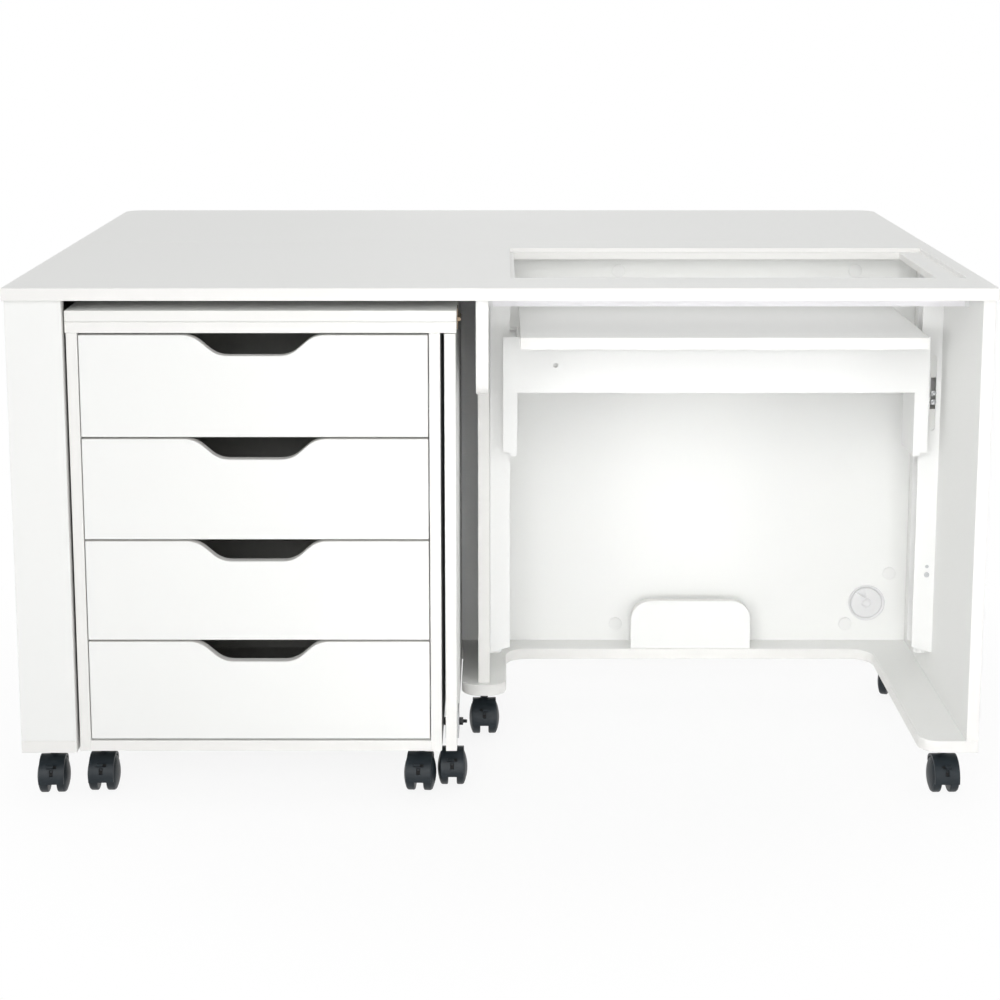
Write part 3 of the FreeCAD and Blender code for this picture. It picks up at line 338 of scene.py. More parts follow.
def surface_tooth():
    """Fine relief of a pressed, sprayed or moulded surface."""
    name = "Surface tooth"
    if name in bpy.data.node_groups:
        return bpy.data.node_groups[name]
    tree, start, end = new_group(
        name,
        [("Vector", "NodeSocketVector", None), ("Scale", "NodeSocketFloat", 800.0)],
        [("Height", "NodeSocketFloat")],
    )
    cell_scale = 0.55
    cell_share = 0.6
    vector = start.outputs["Vector"]
    scale = start.outputs["Scale"]
    grain = noise_node(tree, vector, scale, detail=3.0)
    cells = tree.nodes.new("ShaderNodeTexVoronoi")
    cells.feature = "SMOOTH_F1"
    tree.links.new(vector, cells.inputs["Vector"])
    tree.links.new(math_node(tree, "MULTIPLY", scale, cell_scale), cells.inputs["Scale"])
    both = math_node(tree, "MULTIPLY_ADD", cells.outputs["Distance"], cell_share, grain)
    tree.links.new(both, end.inputs["Height"])
    return tree


def tone_drift():
    """Slow change of a colour over a surface, with a faint speckle."""
    name = "Tone drift"
    if name in bpy.data.node_groups:
        return bpy.data.node_groups[name]
    tree, start, end = new_group(
        name,
        [
            ("Vector", "NodeSocketVector", None),
            ("Colour", "NodeSocketColor", (0.8, 0.8, 0.8, 1.0)),
            ("Scale", "NodeSocketFloat", 3.0),
            ("Amount", "NodeSocketFloat", 0.03),
        ],
        [("Colour", "NodeSocketColor")],
    )
    vector = start.outputs["Vector"]
    speck_scale = 900.0
    speck_share = 0.35
    mean = 0.5 * (1.0 + speck_share)
    slow = noise_node(tree, vector, start.outputs["Scale"], detail=2.0)
    speck = noise_node(tree, vector, speck_scale, detail=1.0)
    mixed = math_node(tree, "MULTIPLY_ADD", speck, speck_share, slow)
    centred = math_node(tree, "SUBTRACT", mixed, mean)
    shade = math_node(tree, "MULTIPLY_ADD", centred, start.outputs["Amount"], 1.0)
    item = tree.nodes.new("ShaderNodeHueSaturation")
    tree.links.new(start.outputs["Colour"], item.inputs["Color"])
    tree.links.new(shade, item.inputs["Value"])
    tree.links.new(item.outputs["Color"], end.inputs["Colour"])
    return tree


def gloss_drift():
    """Change of roughness from handling, wiping and moulding."""
    name = "Gloss drift"
    if name in bpy.data.node_groups:
        return bpy.data.node_groups[name]
    tree, start, end = new_group(
        name,
        [
            ("Vector", "NodeSocketVector", None),
            ("Roughness", "NodeSocketFloat", 0.5),
            ("Scale", "NodeSocketFloat", 9.0),
            ("Amount", "NodeSocketFloat", 0.1),
        ],
        [("Roughness", "NodeSocketFloat")],
    )
    vector = start.outputs["Vector"]
    mean = 0.5
    patches = noise_node(tree, vector, start.outputs["Scale"], detail=4.0)
    centred = math_node(tree, "SUBTRACT", patches, mean)
    amount = start.outputs["Amount"]
    rough = math_node(tree, "MULTIPLY_ADD", centred, amount, start.outputs["Roughness"])
    tree.links.new(rough, end.inputs["Roughness"])
    return tree


def put_group(tree, group, vector, **values):
    """A shared group placed in a material with its own values."""
    item = tree.nodes.new("ShaderNodeGroup")
    item.node_tree = group
    tree.links.new(vector, item.inputs["Vector"])
    for label, given in values.items():
        socket = item.inputs[label]
        socket.default_value = (*given, 1.0) if hasattr(given, "__len__") else given
    return item


def make_finish(name, colour, roughness, tooth, tone, gloss, stretch=None, **fixed):
    """A finish with drifting tone, uneven gloss and fine relief.

    tooth is the relief's scale per metre and its depth in metres.
    tone and gloss are a scale per metre and an amount.
    stretch squeezes the pattern along each axis, as brushing does.
    fixed are the shader's own constants.
    """
    if name in bpy.data.materials:
        return bpy.data.materials[name]
    material = bpy.data.materials.new(name)
    material.use_nodes = True
    tree = material.node_tree
    shader = tree.nodes["Principled BSDF"]
    vector = tree.nodes.new("ShaderNodeTexCoord").outputs["Object"]
    if stretch is not None:
        squeeze = tree.nodes.new("ShaderNodeMapping")
        squeeze.inputs["Scale"].default_value = stretch
        tree.links.new(vector, squeeze.inputs["Vector"])
        vector = squeeze.outputs["Vector"]
    tinted = put_group(tree, tone_drift(), vector, Colour=tuple(colour), Scale=tone[0], Amount=tone[1])
    tree.links.new(tinted.outputs["Colour"], shader.inputs["Base Color"])
    sheen = put_group(tree, gloss_drift(), vector, Roughness=roughness, Scale=gloss[0], Amount=gloss[1])
    tree.links.new(sheen.outputs["Roughness"], shader.inputs["Roughness"])
    relief = put_group(tree, surface_tooth(), vector, Scale=tooth[0])
    bump = tree.nodes.new("ShaderNodeBump")
    bump.inputs["Strength"].default_value = RELIEF_STRENGTH
    bump.inputs["Distance"].default_value = tooth[1]
    tree.links.new(relief.outputs["Height"], bump.inputs["Height"])
    tree.links.new(bump.outputs["Normal"], shader.inputs["Normal"])
    for label, given in fixed.items():
        shader.inputs[label.replace("_", " ")].default_value = given
    return material


def boards_look():
    return bpy.context.scene.sewing_table_boards


def fittings_look():
    return bpy.context.scene.sewing_table_fittings


def casters_look():
    return bpy.context.scene.sewing_table_casters


# Finishes
def laminate():
    return make_finish(
        "White laminate", boards_look().face_colour,
        roughness=0.58, tooth=(1500.0, 0.05 * MM), tone=(2.2, 0.02), gloss=(6.0, 0.08),
        Specular_IOR_Level=0.2,
    )


# The band's colour is partly its own warmer tone and partly painted shade over the brightly lit edges.
def edge_band_with_shade():
    return make_finish(
        "White edge band with shade", boards_look().band_colour_and_shade,
        roughness=0.40, tooth=(700.0, 0.03 * MM), tone=(4.0, 0.025), gloss=(14.0, 0.1),
    )


def drawer_foil():
    return make_finish(
        "Grey drawer foil", boards_look().drawer_colour,
        roughness=0.55, tooth=(900.0, 0.05 * MM), tone=(8.0, 0.06), gloss=(12.0, 0.1),
        stretch=(1.0, 0.15, 1.0),
    )


def powder_coat():
    return make_finish(
        "White powder coat", fittings_look().powder_colour,
        roughness=0.42, tooth=(620.0, 0.12 * MM), tone=(5.0, 0.025), gloss=(20.0, 0.12),
    )


def zinc():
    return make_finish(
        "Bright zinc", fittings_look().zinc_colour,
        roughness=0.34, tooth=(400.0, 0.03 * MM), tone=(60.0, 0.25), gloss=(45.0, 0.22),
        stretch=(1.0, 1.0, 0.25),
        Metallic=1.0,
    )


def rod_steel():
    return make_finish(
        "Polished rod steel", fittings_look().zinc_colour,
        roughness=0.16, tooth=(300.0, 0.01 * MM), tone=(20.0, 0.1), gloss=(60.0, 0.08),
        stretch=(1.0, 1.0, 0.1),
        Metallic=1.0,
    )


def black_screw():
    return make_finish(
        "Blackened screw", fittings_look().screw_colour,
        roughness=0.38, tooth=(1200.0, 0.03 * MM), tone=(90.0, 0.3), gloss=(90.0, 0.2),
        Metallic=0.5,
    )


def rail_metal():
    return make_finish(
        "White rail", fittings_look().rail_colour,
        roughness=0.36, tooth=(900.0, 0.03 * MM), tone=(6.0, 0.02), gloss=(20.0, 0.12),
    )


def pale_plastic():
    return make_finish(
        "Pale plastic", fittings_look().plastic_colour,
        roughness=0.38, tooth=(1600.0, 0.03 * MM), tone=(12.0, 0.03), gloss=(30.0, 0.1),
    )


def natural_nylon():
    return make_finish(
        "Natural nylon", fittings_look().nylon_colour,
        roughness=0.45, tooth=(900.0, 0.05 * MM), tone=(20.0, 0.05), gloss=(40.0, 0.1),
        Subsurface_Weight=0.05,
    )


def cover_plastic():
    return make_finish(
        "Cover cap plastic", fittings_look().cover_colour,
        roughness=0.4, tooth=(1600.0, 0.03 * MM), tone=(12.0, 0.03), gloss=(30.0, 0.1),
    )


def bronze():
    return make_finish(
        "Dull bronze", fittings_look().bronze_colour,
        roughness=0.36, tooth=(500.0, 0.03 * MM), tone=(80.0, 0.3), gloss=(60.0, 0.2),
        Metallic=1.0,
    )


def charcoal_nylon():
    return make_finish(
        "Charcoal nylon", casters_look().colour,
        roughness=0.42, tooth=(2200.0, 0.10 * MM), tone=(45.0, 0.35), gloss=(60.0, 0.18),
        Specular_IOR_Level=0.3,
    )


# Near-black finish for thin sheets that paint the shade inside the casters' recesses: painted shade, not a real
# part's colour.
def painted_recess_shade():
    return make_finish(
        "Painted recess shade", (0.004, 0.004, 0.004),
        roughness=0.8, tooth=(900.0, 0.02 * MM), tone=(30.0, 0.2), gloss=(30.0, 0.1),
    )


# Mesh helpers
def node_mesh(node):
    """A clean copy of a frame node's mesh: welded, with flat areas back in one face."""
    bm = bmesh.new()
    bm.from_mesh(FRAME["nodes"][node].data)
    bmesh.ops.remove_doubles(bm, verts=bm.verts[:], dist=MERGE_DISTANCE)
    bmesh.ops.dissolve_limit(bm, angle_limit=FLAT_ANGLE, verts=bm.verts[:], edges=bm.edges[:])
    bmesh.ops.recalc_face_normals(bm, faces=bm.faces[:])
    return bm


def islands(bm):
    """The connected groups of faces in a mesh, in the order of their first faces."""
    seen = set()
    found = []
    for first in bm.faces:
        if first in seen:
            continue
        seen.add(first)
        stack = [first]
        island = []
        while stack:
            face = stack.pop()
            island.append(face)
            for edge in face.edges:
                for other in edge.link_faces:
                    if other not in seen:
                        seen.add(other)
                        stack.append(other)
        found.append(island)
    return found


def span(faces):
    """Lowest and highest corner of some faces."""
    points = [vert.co for face in faces for vert in face.verts]
    low = Vector(min(p[axis] for p in points) for axis in range(3))
    high = Vector(max(p[axis] for p in points) for axis in range(3))
    return low, high


def solid_spans(node):
    """Lowest and highest corner of each separate solid of a frame node."""
    bm = node_mesh(node)
    found = [span(island) for island in islands(bm)]
    bm.free()
    return found


def soften(piece, radius, steps):
    """Rounded edges with clean shading on a piece."""
    if radius > 0.0:
        edge = piece.modifiers.new("Rounded edges", "BEVEL")
        edge.width = radius
        edge.segments = steps
        edge.limit_method = "ANGLE"
        edge.angle_limit = SHARP_ANGLE
        edge.use_clamp_overlap = True
    shade = piece.modifiers.new("Even shading", "WEIGHTED_NORMAL")
    shade.mode = "FACE_AREA"
    shade.keep_sharp = False


def finish_piece(name, bm, finishes, body, replaced=(), radius=0.0, steps=2):
    """Turn a mesh into a piece that rides on a body and stands for some frame nodes."""
    mesh = bpy.data.meshes.new(name)
    bm.to_mesh(mesh)
    bm.free()
    for material in finishes:
        mesh.materials.append(material)
    mesh.shade_smooth()
    piece = bpy.data.objects.new(name, mesh)
    bpy.context.scene.collection.objects.link(piece)
    soften(piece, radius, steps)
    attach(piece, body)
    if replaced:
        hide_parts(*replaced)


def dress(node, suffix, bm, finishes, radius=0.0, steps=2):
    """A piece that stands for one frame node and rides on that node's body."""
    finish_piece(
        f"{node}.{suffix}", bm, finishes, BODY_OF[node], (node,), radius, steps,
    )


def thin_axis(node):
    """The axis along which a board is thinnest."""
    low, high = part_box(node)
    size = high - low
    return min(range(3), key=lambda axis: size[axis])


def make_board(node):
    """A laminate board with bands on its narrow faces."""
    bm = node_mesh(node)
    axis = thin_axis(node)
    for face in bm.faces:
        # Narrow faces take the edge band, whose darker colour is partly painted shade.
        face.material_index = 0 if abs(face.normal[axis]) > FACE_SHARE else 1
    dress(node, "board", bm, (laminate(), edge_band_with_shade()), boards_look().edge_radius, BOARD_EDGE_STEPS)


def make_fitting(node, finishes, pick=None, radius=None, suffix="fitting"):
    """A fitting cut from a frame node. pick gives each separate solid its finish."""
    bm = node_mesh(node)
    if pick is not None:
        for island in islands(bm):
            index = pick(*span(island))
            for face in island:
                face.material_index = index
    dress(node, suffix, bm, finishes, fittings_look().edge_radius if radius is None else radius)


def upright_matrix(origin, direction):
    """A frame whose Z axis points along a direction."""
    turn = Vector(direction).to_track_quat("Z", "Y").to_matrix().to_4x4()
    return Matrix.Translation(origin) @ turn


def block(bm, place, size):
    """A box of a given size, centred in a frame."""
    return bmesh.ops.create_cube(bm, size=1.0, matrix=place @ Matrix.Diagonal((*size, 1.0)))


def scaled(shares, radius, height):
    """A profile from points that are given as shares of a radius and a height."""
    return [(across * radius, up * height) for across, up in shares]


def lathe(bm, profile, matrix, steps=ROUND_STEPS):
    """A surface turned about Z from (radius, height) points, closed where the radius is zero."""
    rings = []
    for radius, height in profile:
        if radius <= 0.0:
            rings.append([bm.verts.new(matrix @ Vector((0.0, 0.0, height)))])
            continue
        ring = []
        for step in range(steps):
            angle = 2.0 * math.pi * step / steps
            point = Vector((radius * math.cos(angle), radius * math.sin(angle), height))
            ring.append(bm.verts.new(matrix @ point))
        rings.append(ring)
    faces = []
    for lower, upper in zip(rings, rings[1:]):
        for step in range(steps):
            following = (step + 1) % steps
            if len(lower) == 1:
                corners = (lower[0], upper[following], upper[step])
            elif len(upper) == 1:
                corners = (lower[step], lower[following], upper[0])
            else:
                corners = (lower[step], lower[following], upper[following], upper[step])
            faces.append(bm.faces.new(corners))
    return faces


def screw_head(bm, origin, direction, radius, turn):
    """A domed screw head with a cross recess, standing on a surface."""
    steps = 20
    height = 0.42 * radius
    recess = Vector((0.0, 0.0, 0.6 * height))
    arm = 0.5 * radius
    half = 0.12 * radius
    shares = ((0.0, 0.0), (1.0, 0.0), (1.0, 0.35), (0.86, 0.8), (0.66, 1.0))
    matrix = upright_matrix(origin, direction) @ Matrix.Rotation(turn, 4, "Z")
    faces = lathe(bm, scaled(shares, radius, height), matrix, steps)
    rim = [edge for face in faces[-steps:] for edge in face.edges if edge.is_boundary]
    outline = []
    for quarter in range(4):
        corner = Matrix.Rotation(-quarter * math.pi / 2.0, 3, "Z")
        for x, y in ((half, half), (arm, half), (arm, -half)):
            outline.append(corner @ Vector((x, y, height)))
    upper = [bm.verts.new(matrix @ spot) for spot in outline]
    lower = [bm.verts.new(matrix @ (spot - recess)) for spot in outline]
    cross = []
    for index, vert in enumerate(upper):
        following = (index + 1) % len(upper)
        cross.append(bm.edges.new((vert, upper[following])))
        bm.faces.new((vert, upper[following], lower[following], lower[index]))
    bm.faces.new(lower)
    bmesh.ops.triangle_fill(bm, use_beauty=True, use_dissolve=False, edges=rim + cross)


def screw_piece(name, spots, radius, node):
    """Screw heads on a node's body, given as pairs of a place and a direction."""
    first_turn = 0.4
    next_turn = 0.7
    bm = bmesh.new()
    for number, (origin, direction) in enumerate(spots):
        screw_head(bm, origin, direction, radius, first_turn + next_turn * number)
    bmesh.ops.recalc_face_normals(bm, faces=bm.faces[:])
    finish_piece(name, bm, (zinc(),), BODY_OF[node])


def disc_cap(bm, origin, direction, radius, height):
    """A shallow domed cap with a rolled rim."""
    shares = (
        (0.0, 0.0), (1.0, 0.0), (1.0, 0.45), (0.97, 0.75), (0.92, 0.9), (0.6, 0.97), (0.0, 1.0),
    )
    lathe(bm, scaled(shares, radius, height), upright_matrix(origin, direction))


def carved(bm, tool):
    """A mesh with another one cut out of it."""
    items = []
    for label, source in (("Blank", bm), ("Tool", tool)):
        bmesh.ops.recalc_face_normals(source, faces=source.faces[:])
        mesh = bpy.data.meshes.new(label)
        source.to_mesh(mesh)
        source.free()
        item = bpy.data.objects.new(label, mesh)
        bpy.context.scene.collection.objects.link(item)
        items.append(item)
    change = items[0].modifiers.new("Cut", "BOOLEAN")
    change.operation = "DIFFERENCE"
    change.solver = "EXACT"
    change.object = items[1]
    made = bmesh.new()
    made.from_object(items[0], bpy.context.evaluated_depsgraph_get())
    for item in items:
        mesh = item.data
        bpy.data.objects.remove(item)
        bpy.data.meshes.remove(mesh)
    return made


# Table operators
class SEWINGTABLE_OT_worktop(bpy.types.Operator):
    """Make the worktop, the drop leaf and the lift's platform"""

    bl_idname = "sewing_table.worktop"
    bl_label = "Worktop Boards"

    def execute(self, context):
        for node in TOP_BOARDS:
            make_board(node)
        return {"FINISHED"}


class SEWINGTABLE_OT_stand(bpy.types.Operator):
    """Make the uprights, the back, the base boards and the pedal stop"""

    bl_idname = "sewing_table.stand"
    bl_label = "Stand Boards"

    def execute(self, context):
        for node in STAND_BOARDS:
            make_board(node)
        return {"FINISHED"}


class SEWINGTABLE_OT_caddy(bpy.types.Operator):
    """Make the caddy's case, its fold-over leaf and its gate leg"""

    bl_idname = "sewing_table.caddy"
    bl_label = "Caddy Boards"

    def execute(self, context):
        for node in CADDY_BOARDS:
            make_board(node)
        return {"FINISHED"}


class SEWINGTABLE_OT_drawers(bpy.types.Operator):
    """Make the drawer fronts with their finger scoops, and the boxes behind them"""

    bl_idname = "sewing_table.drawers"
    bl_label = "Drawers"

    def execute(self, context):
        for drawer in DRAWERS:
            make_board(f"{drawer}_front")
            self.make_box(f"{drawer}_box")
        return {"FINISHED"}

    def make_box(self, node):
        """A drawer box with a zinc runner on each side."""
        runner = 12.0 * MM
        edge = 0.5 * MM
        low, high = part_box(node)

        def pick(start, end):
            outside = end.x < low.x + runner or start.x > high.x - runner
            return 1 if outside else 0

        make_fitting(node, (drawer_foil(), zinc()), pick, edge, "boards")


class SEWINGTABLE_OT_leaf_fittings(bpy.types.Operator):
    """Make the leaf's hinges, the swing frame and its brackets, with their screws"""

    bl_idname = "sewing_table.leaf_fittings"
    bl_label = "Leaf Fittings"

    def execute(self, context):
        make_fitting("leaf_fittings", (zinc(),))
        make_fitting("leaf_hinge_flaps", (zinc(),))
        make_fitting("leaf_swing_frame", (powder_coat(),), suffix="tube")
        self.make_screws()
        return {"FINISHED"}

    def make_screws(self):
        """Screws in the hinge plates, the pin brackets and the hinge flaps."""
        plate_rise = 20.0 * MM
        plate_inset = 9.0 * MM
        flap_inset = 12.0 * MM
        bracket_inset = 8.0 * MM
        bracket_sheet = 3.0 * MM
        hinge_screw = 3.6 * MM
        bracket_screw = 4.5 * MM
        plates = []
        brackets = []
        for low, high in solid_spans("leaf_fittings"):
            if high.z - low.z < plate_rise:
                plates += self.hinge_row(low, high, low.y + plate_inset)
                continue
            x = ((low + high) / 2.0).x
            for z in (low.z + bracket_inset, high.z - bracket_inset):
                brackets.append(((x, low.y + bracket_sheet, z), REAR))
        flaps = []
        for low, high in solid_spans("leaf_hinge_flaps"):
            flaps += self.hinge_row(low, high, high.y - flap_inset)
        screw_piece("hinge_base_screws", plates, hinge_screw, "leaf_fittings")
        screw_piece("bracket_screws", brackets, bracket_screw, "leaf_fittings")
        screw_piece("hinge_flap_screws", flaps, hinge_screw, "leaf_hinge_flaps")

    def hinge_row(self, low, high, y):
        """Places of the three screws below one hinge plate."""
        inset = 12.0 * MM
        plate = 2.0 * MM
        middle = (low + high) / 2.0
        row = (low.x + inset, middle.x, high.x - inset)
        return [((x, y, high.z - plate), DOWN) for x in row]


class SEWINGTABLE_OT_lift(bpy.types.Operator):
    """Make the lift's guide channels, carriage and sliders"""

    bl_idname = "sewing_table.lift"
    bl_label = "Machine Lift"

    def execute(self, context):
        slider_edge = 0.8 * MM
        self.make_guides()
        make_fitting("lift_carriage", (powder_coat(),), suffix="steel")
        make_fitting("lift_sliders", (natural_nylon(),), radius=slider_edge, suffix="blocks")
        self.make_carriage_details()
        return {"FINISHED"}

    def make_carriage_details(self):
        """A rivet in the carriage's hole, and a nylon stop on the inner side of each leg."""
        node = "lift_carriage"
        sheet = 2.0 * MM
        hole_inset = 81.0 * MM
        hole_drop = 46.0 * MM
        rivet_radius = 3.6 * MM
        rivet_height = 1.1 * MM
        leg = 22.0 * MM
        stop = Vector((5.6, 8.0, 13.6)) * MM
        stop_inset = 7.0 * MM
        stop_drop = 127.0 * MM
        stop_edge = 1.8 * MM
        stop_edge_steps = 4
        low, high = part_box(node)
        rivet = bmesh.new()
        spot = Vector((low.x + hole_inset, low.y + sheet, high.z - hole_drop))
        disc_cap(rivet, spot, FRONT, rivet_radius, rivet_height)
        finish_piece("carriage_rivet", rivet, (zinc(),), BODY_OF[node])
        stops = bmesh.new()
        for x in (low.x + leg + stop.x / 2.0, high.x - leg - stop.x / 2.0):
            spot = Vector((x, low.y + stop_inset, high.z - stop_drop))
            block(stops, Matrix.Translation(spot), stop)
        finish_piece(
            "carriage_stops", stops, (natural_nylon(),), BODY_OF[node],
            radius=stop_edge, steps=stop_edge_steps,
        )

    def make_guides(self):
        """Channels with bent corners, their slot screws, a fixing screw and a rivet."""
        node = "lift_guides"
        screw_length = 50.0 * MM
        screw_seat = 3.0 * MM
        slot_screw = 5.0 * MM
        fixing_screw = 4.2 * MM
        fixing_height = 270.0 * MM
        rivet_rise = 13.5 * MM
        rivet_radius = 2.8 * MM
        rivet_height = 0.7 * MM
        bend = 2.4 * MM
        bend_steps = 5
        nearly = 0.1 * MM
        bm = node_mesh(node)
        spots = []
        corners = []
        for island in islands(bm):
            low, high = span(island)
            middle = (low + high) / 2.0
            if high.z - low.z < screw_length:
                spots.append(((middle.x, low.y + screw_seat, middle.z), FRONT))
                bmesh.ops.delete(bm, geom=island, context="FACES")
                continue
            web = high.x if middle.x > LIFT_MIDDLE else low.x
            for edge in dict.fromkeys(edge for face in island for edge in face.edges):
                first, second = (vert.co for vert in edge.verts)
                tall = abs(first.z - second.z) > screw_length
                if tall and abs(first.x - web) < nearly and abs(second.x - web) < nearly:
                    corners.append(edge)
        bmesh.ops.bevel(
            bm, geom=corners, offset=bend, segments=bend_steps, affect="EDGES", profile=0.5,
        )
        face = Vector(spots[0][0])
        rivet = bmesh.new()
        spot = Vector((face.x, face.y, fixing_height + rivet_rise))
        disc_cap(rivet, spot, FRONT, rivet_radius, rivet_height)
        dress(node, "channels", bm, (powder_coat(),), fittings_look().edge_radius)
        screw_piece("guide_screws", spots, slot_screw, node)
        fixing = [((face.x, face.y, fixing_height), FRONT)]
        screw_piece("guide_fixing_screw", fixing, fixing_screw, node)
        finish_piece("guide_rivet", rivet, (zinc(),), BODY_OF[node])


class SEWINGTABLE_OT_gas_springs(bpy.types.Operator):
    """Make the two gas springs of the machine lift"""

    bl_idname = "sewing_table.gas_springs"
    bl_label = "Gas Springs"

    def execute(self, context):
        node = "gas_cylinders"
        tube_edge = 0.4 * MM
        rod_edge = 0.2 * MM
        tubes = bmesh.new()
        for low, high in solid_spans(node):
            self.turn_tube(tubes, low, high)
        dress(node, "tubes", tubes, (powder_coat(),), tube_edge)
        make_fitting("gas_rods", (rod_steel(),), radius=rod_edge, suffix="rods")
        return {"FINISHED"}

    def turn_tube(self, bm, low, high):
        """A hollow crimped tube with a rod gland, and the bracket that holds it to its upright."""
        steps = 32
        wall = 1.5 * MM
        bore = 4.1 * MM
        gland = 5.0 * MM
        chamfer = 1.2 * MM
        shoulder = 1.5 * MM
        crimp_drop = 14.0 * MM
        crimp_half = 1.0 * MM
        crimp_reach = 2.0 * MM
        bracket_height = 12.0 * MM
        radius = (high.y - low.y) / 2.0
        height = high.z - low.z
        inside = radius - wall
        neck = 0.92 * radius
        mouth = 0.9 * radius
        crimp = height - crimp_drop
        profile = [
            (0.0, 0.0),
            (radius - chamfer, 0.0),
            (radius, chamfer),
            (radius, crimp - crimp_reach),
            (neck, crimp - crimp_half),
            (neck, crimp + crimp_half),
            (radius, crimp + crimp_reach),
            (radius, height - shoulder),
            (mouth, height),
            (bore, height),
            (bore, height - gland),
            (inside, height - gland),
            (inside, wall),
            (0.0, wall),
        ]
        at_left = high.x < LIFT_MIDDLE
        x = high.x - radius if at_left else low.x + radius
        y = (low.y + high.y) / 2.0
        foot = Matrix.Translation((x, y, low.z))
        lathe(bm, profile, foot, steps)
        upright = low.x if at_left else high.x
        size = Vector((abs(upright - x), 2.0 * inside, bracket_height))
        bracket = bmesh.new()
        block(bracket, Matrix.Translation(((x + upright) / 2.0, y, low.z + size.z / 2.0)), size)
        core = bmesh.new()
        rim = radius - wall / 2.0
        lathe(core, [(0.0, -height), (rim, -height), (rim, height), (0.0, height)], foot, steps)
        bracket = carved(bracket, core)
        shape = bpy.data.meshes.new("Bracket")
        bracket.to_mesh(shape)
        bracket.free()
        bm.from_mesh(shape)
        bpy.data.meshes.remove(shape)


class SEWINGTABLE_OT_trim(bpy.types.Operator):
    """Make the front rail, the cable outlet and the cover caps"""

    bl_idname = "sewing_table.trim"
    bl_label = "Rail, Outlet and Caps"

    def execute(self, context):
        cap_width = 50.0 * MM
        rail_edge = 0.6 * MM

        def pick(low, high):
            return 1 if high.x - low.x < cap_width else 0

        make_fitting("front_rail", (rail_metal(), pale_plastic()), pick, rail_edge, "bar")
        self.make_outlet()
        self.make_cover_caps()
        return {"FINISHED"}

    def make_cover_caps(self):
        """Domed caps over the screws on the back panel."""
        node = "cover_caps"
        caps = bmesh.new()
        for low, high in solid_spans(node):
            middle = (low + high) / 2.0
            spot = Vector((middle.x, high.y, middle.z))
            disc_cap(caps, spot, FRONT, (high.x - low.x) / 2.0, high.y - low.y)
        dress(node, "discs", caps, (cover_plastic(),))

    def make_outlet(self):
        """Dished ring of the cable outlet, and its sunken cap with a hub and a slit."""
        steps = 96
        lip = 3.0 * MM
        slit = Vector((21.0, 1.3, 2.0)) * MM
        slit_spot = Vector((16.0, -8.0, 1.0)) * MM
        slit_turn = math.radians(152.0)
        low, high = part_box("grommet_ring")
        centre = Vector(((low.x + high.x) / 2.0, low.y + lip, (low.z + high.z) / 2.0))
        matrix = upright_matrix(centre, FRONT)
        depth = (high.y - centre.y) / MM
        # Turned profiles in millimetres: radius, height above the panel
        ring_points = (
            (24.1, -depth),
            (27.0, -depth),
            (27.0, 0.0),
            (30.5, 0.0),
            (30.5, 2.3),
            (30.2, 2.8),
            (29.6, 3.0),
            (29.0, 2.9),
            (26.7, 1.5),
            (26.3, 1.1),
            (26.3, -1.0),
            (24.1, -1.0),
            (24.1, -depth),
        )
        cap_points = (
            (0.0, -6.0),
            (23.9, -6.0),
            (23.9, -0.9),
            (25.7, -0.9),
            (25.7, 0.5),
            (25.3, 0.9),
            (24.6, 1.0),
            (8.6, 1.0),
            (8.2, 1.2),
            (7.6, 2.2),
            (6.2, 2.2),
            (5.6, 1.0),
            (0.0, 0.9),
        )
        ring = bmesh.new()
        lathe(ring, scaled(ring_points, MM, MM), matrix, steps)
        bmesh.ops.remove_doubles(ring, verts=ring.verts[:], dist=MERGE_DISTANCE)
        dress("grommet_ring", "moulding", ring, (pale_plastic(),))
        cap = bmesh.new()
        lathe(cap, scaled(cap_points, MM, MM), matrix, steps)
        cutter = bmesh.new()
        place = Matrix.Rotation(slit_turn, 4, "Z") @ Matrix.Translation(slit_spot)
        block(cutter, matrix @ place, slit)
        dress("grommet_cap", "moulding", carved(cap, cutter), (pale_plastic(),))


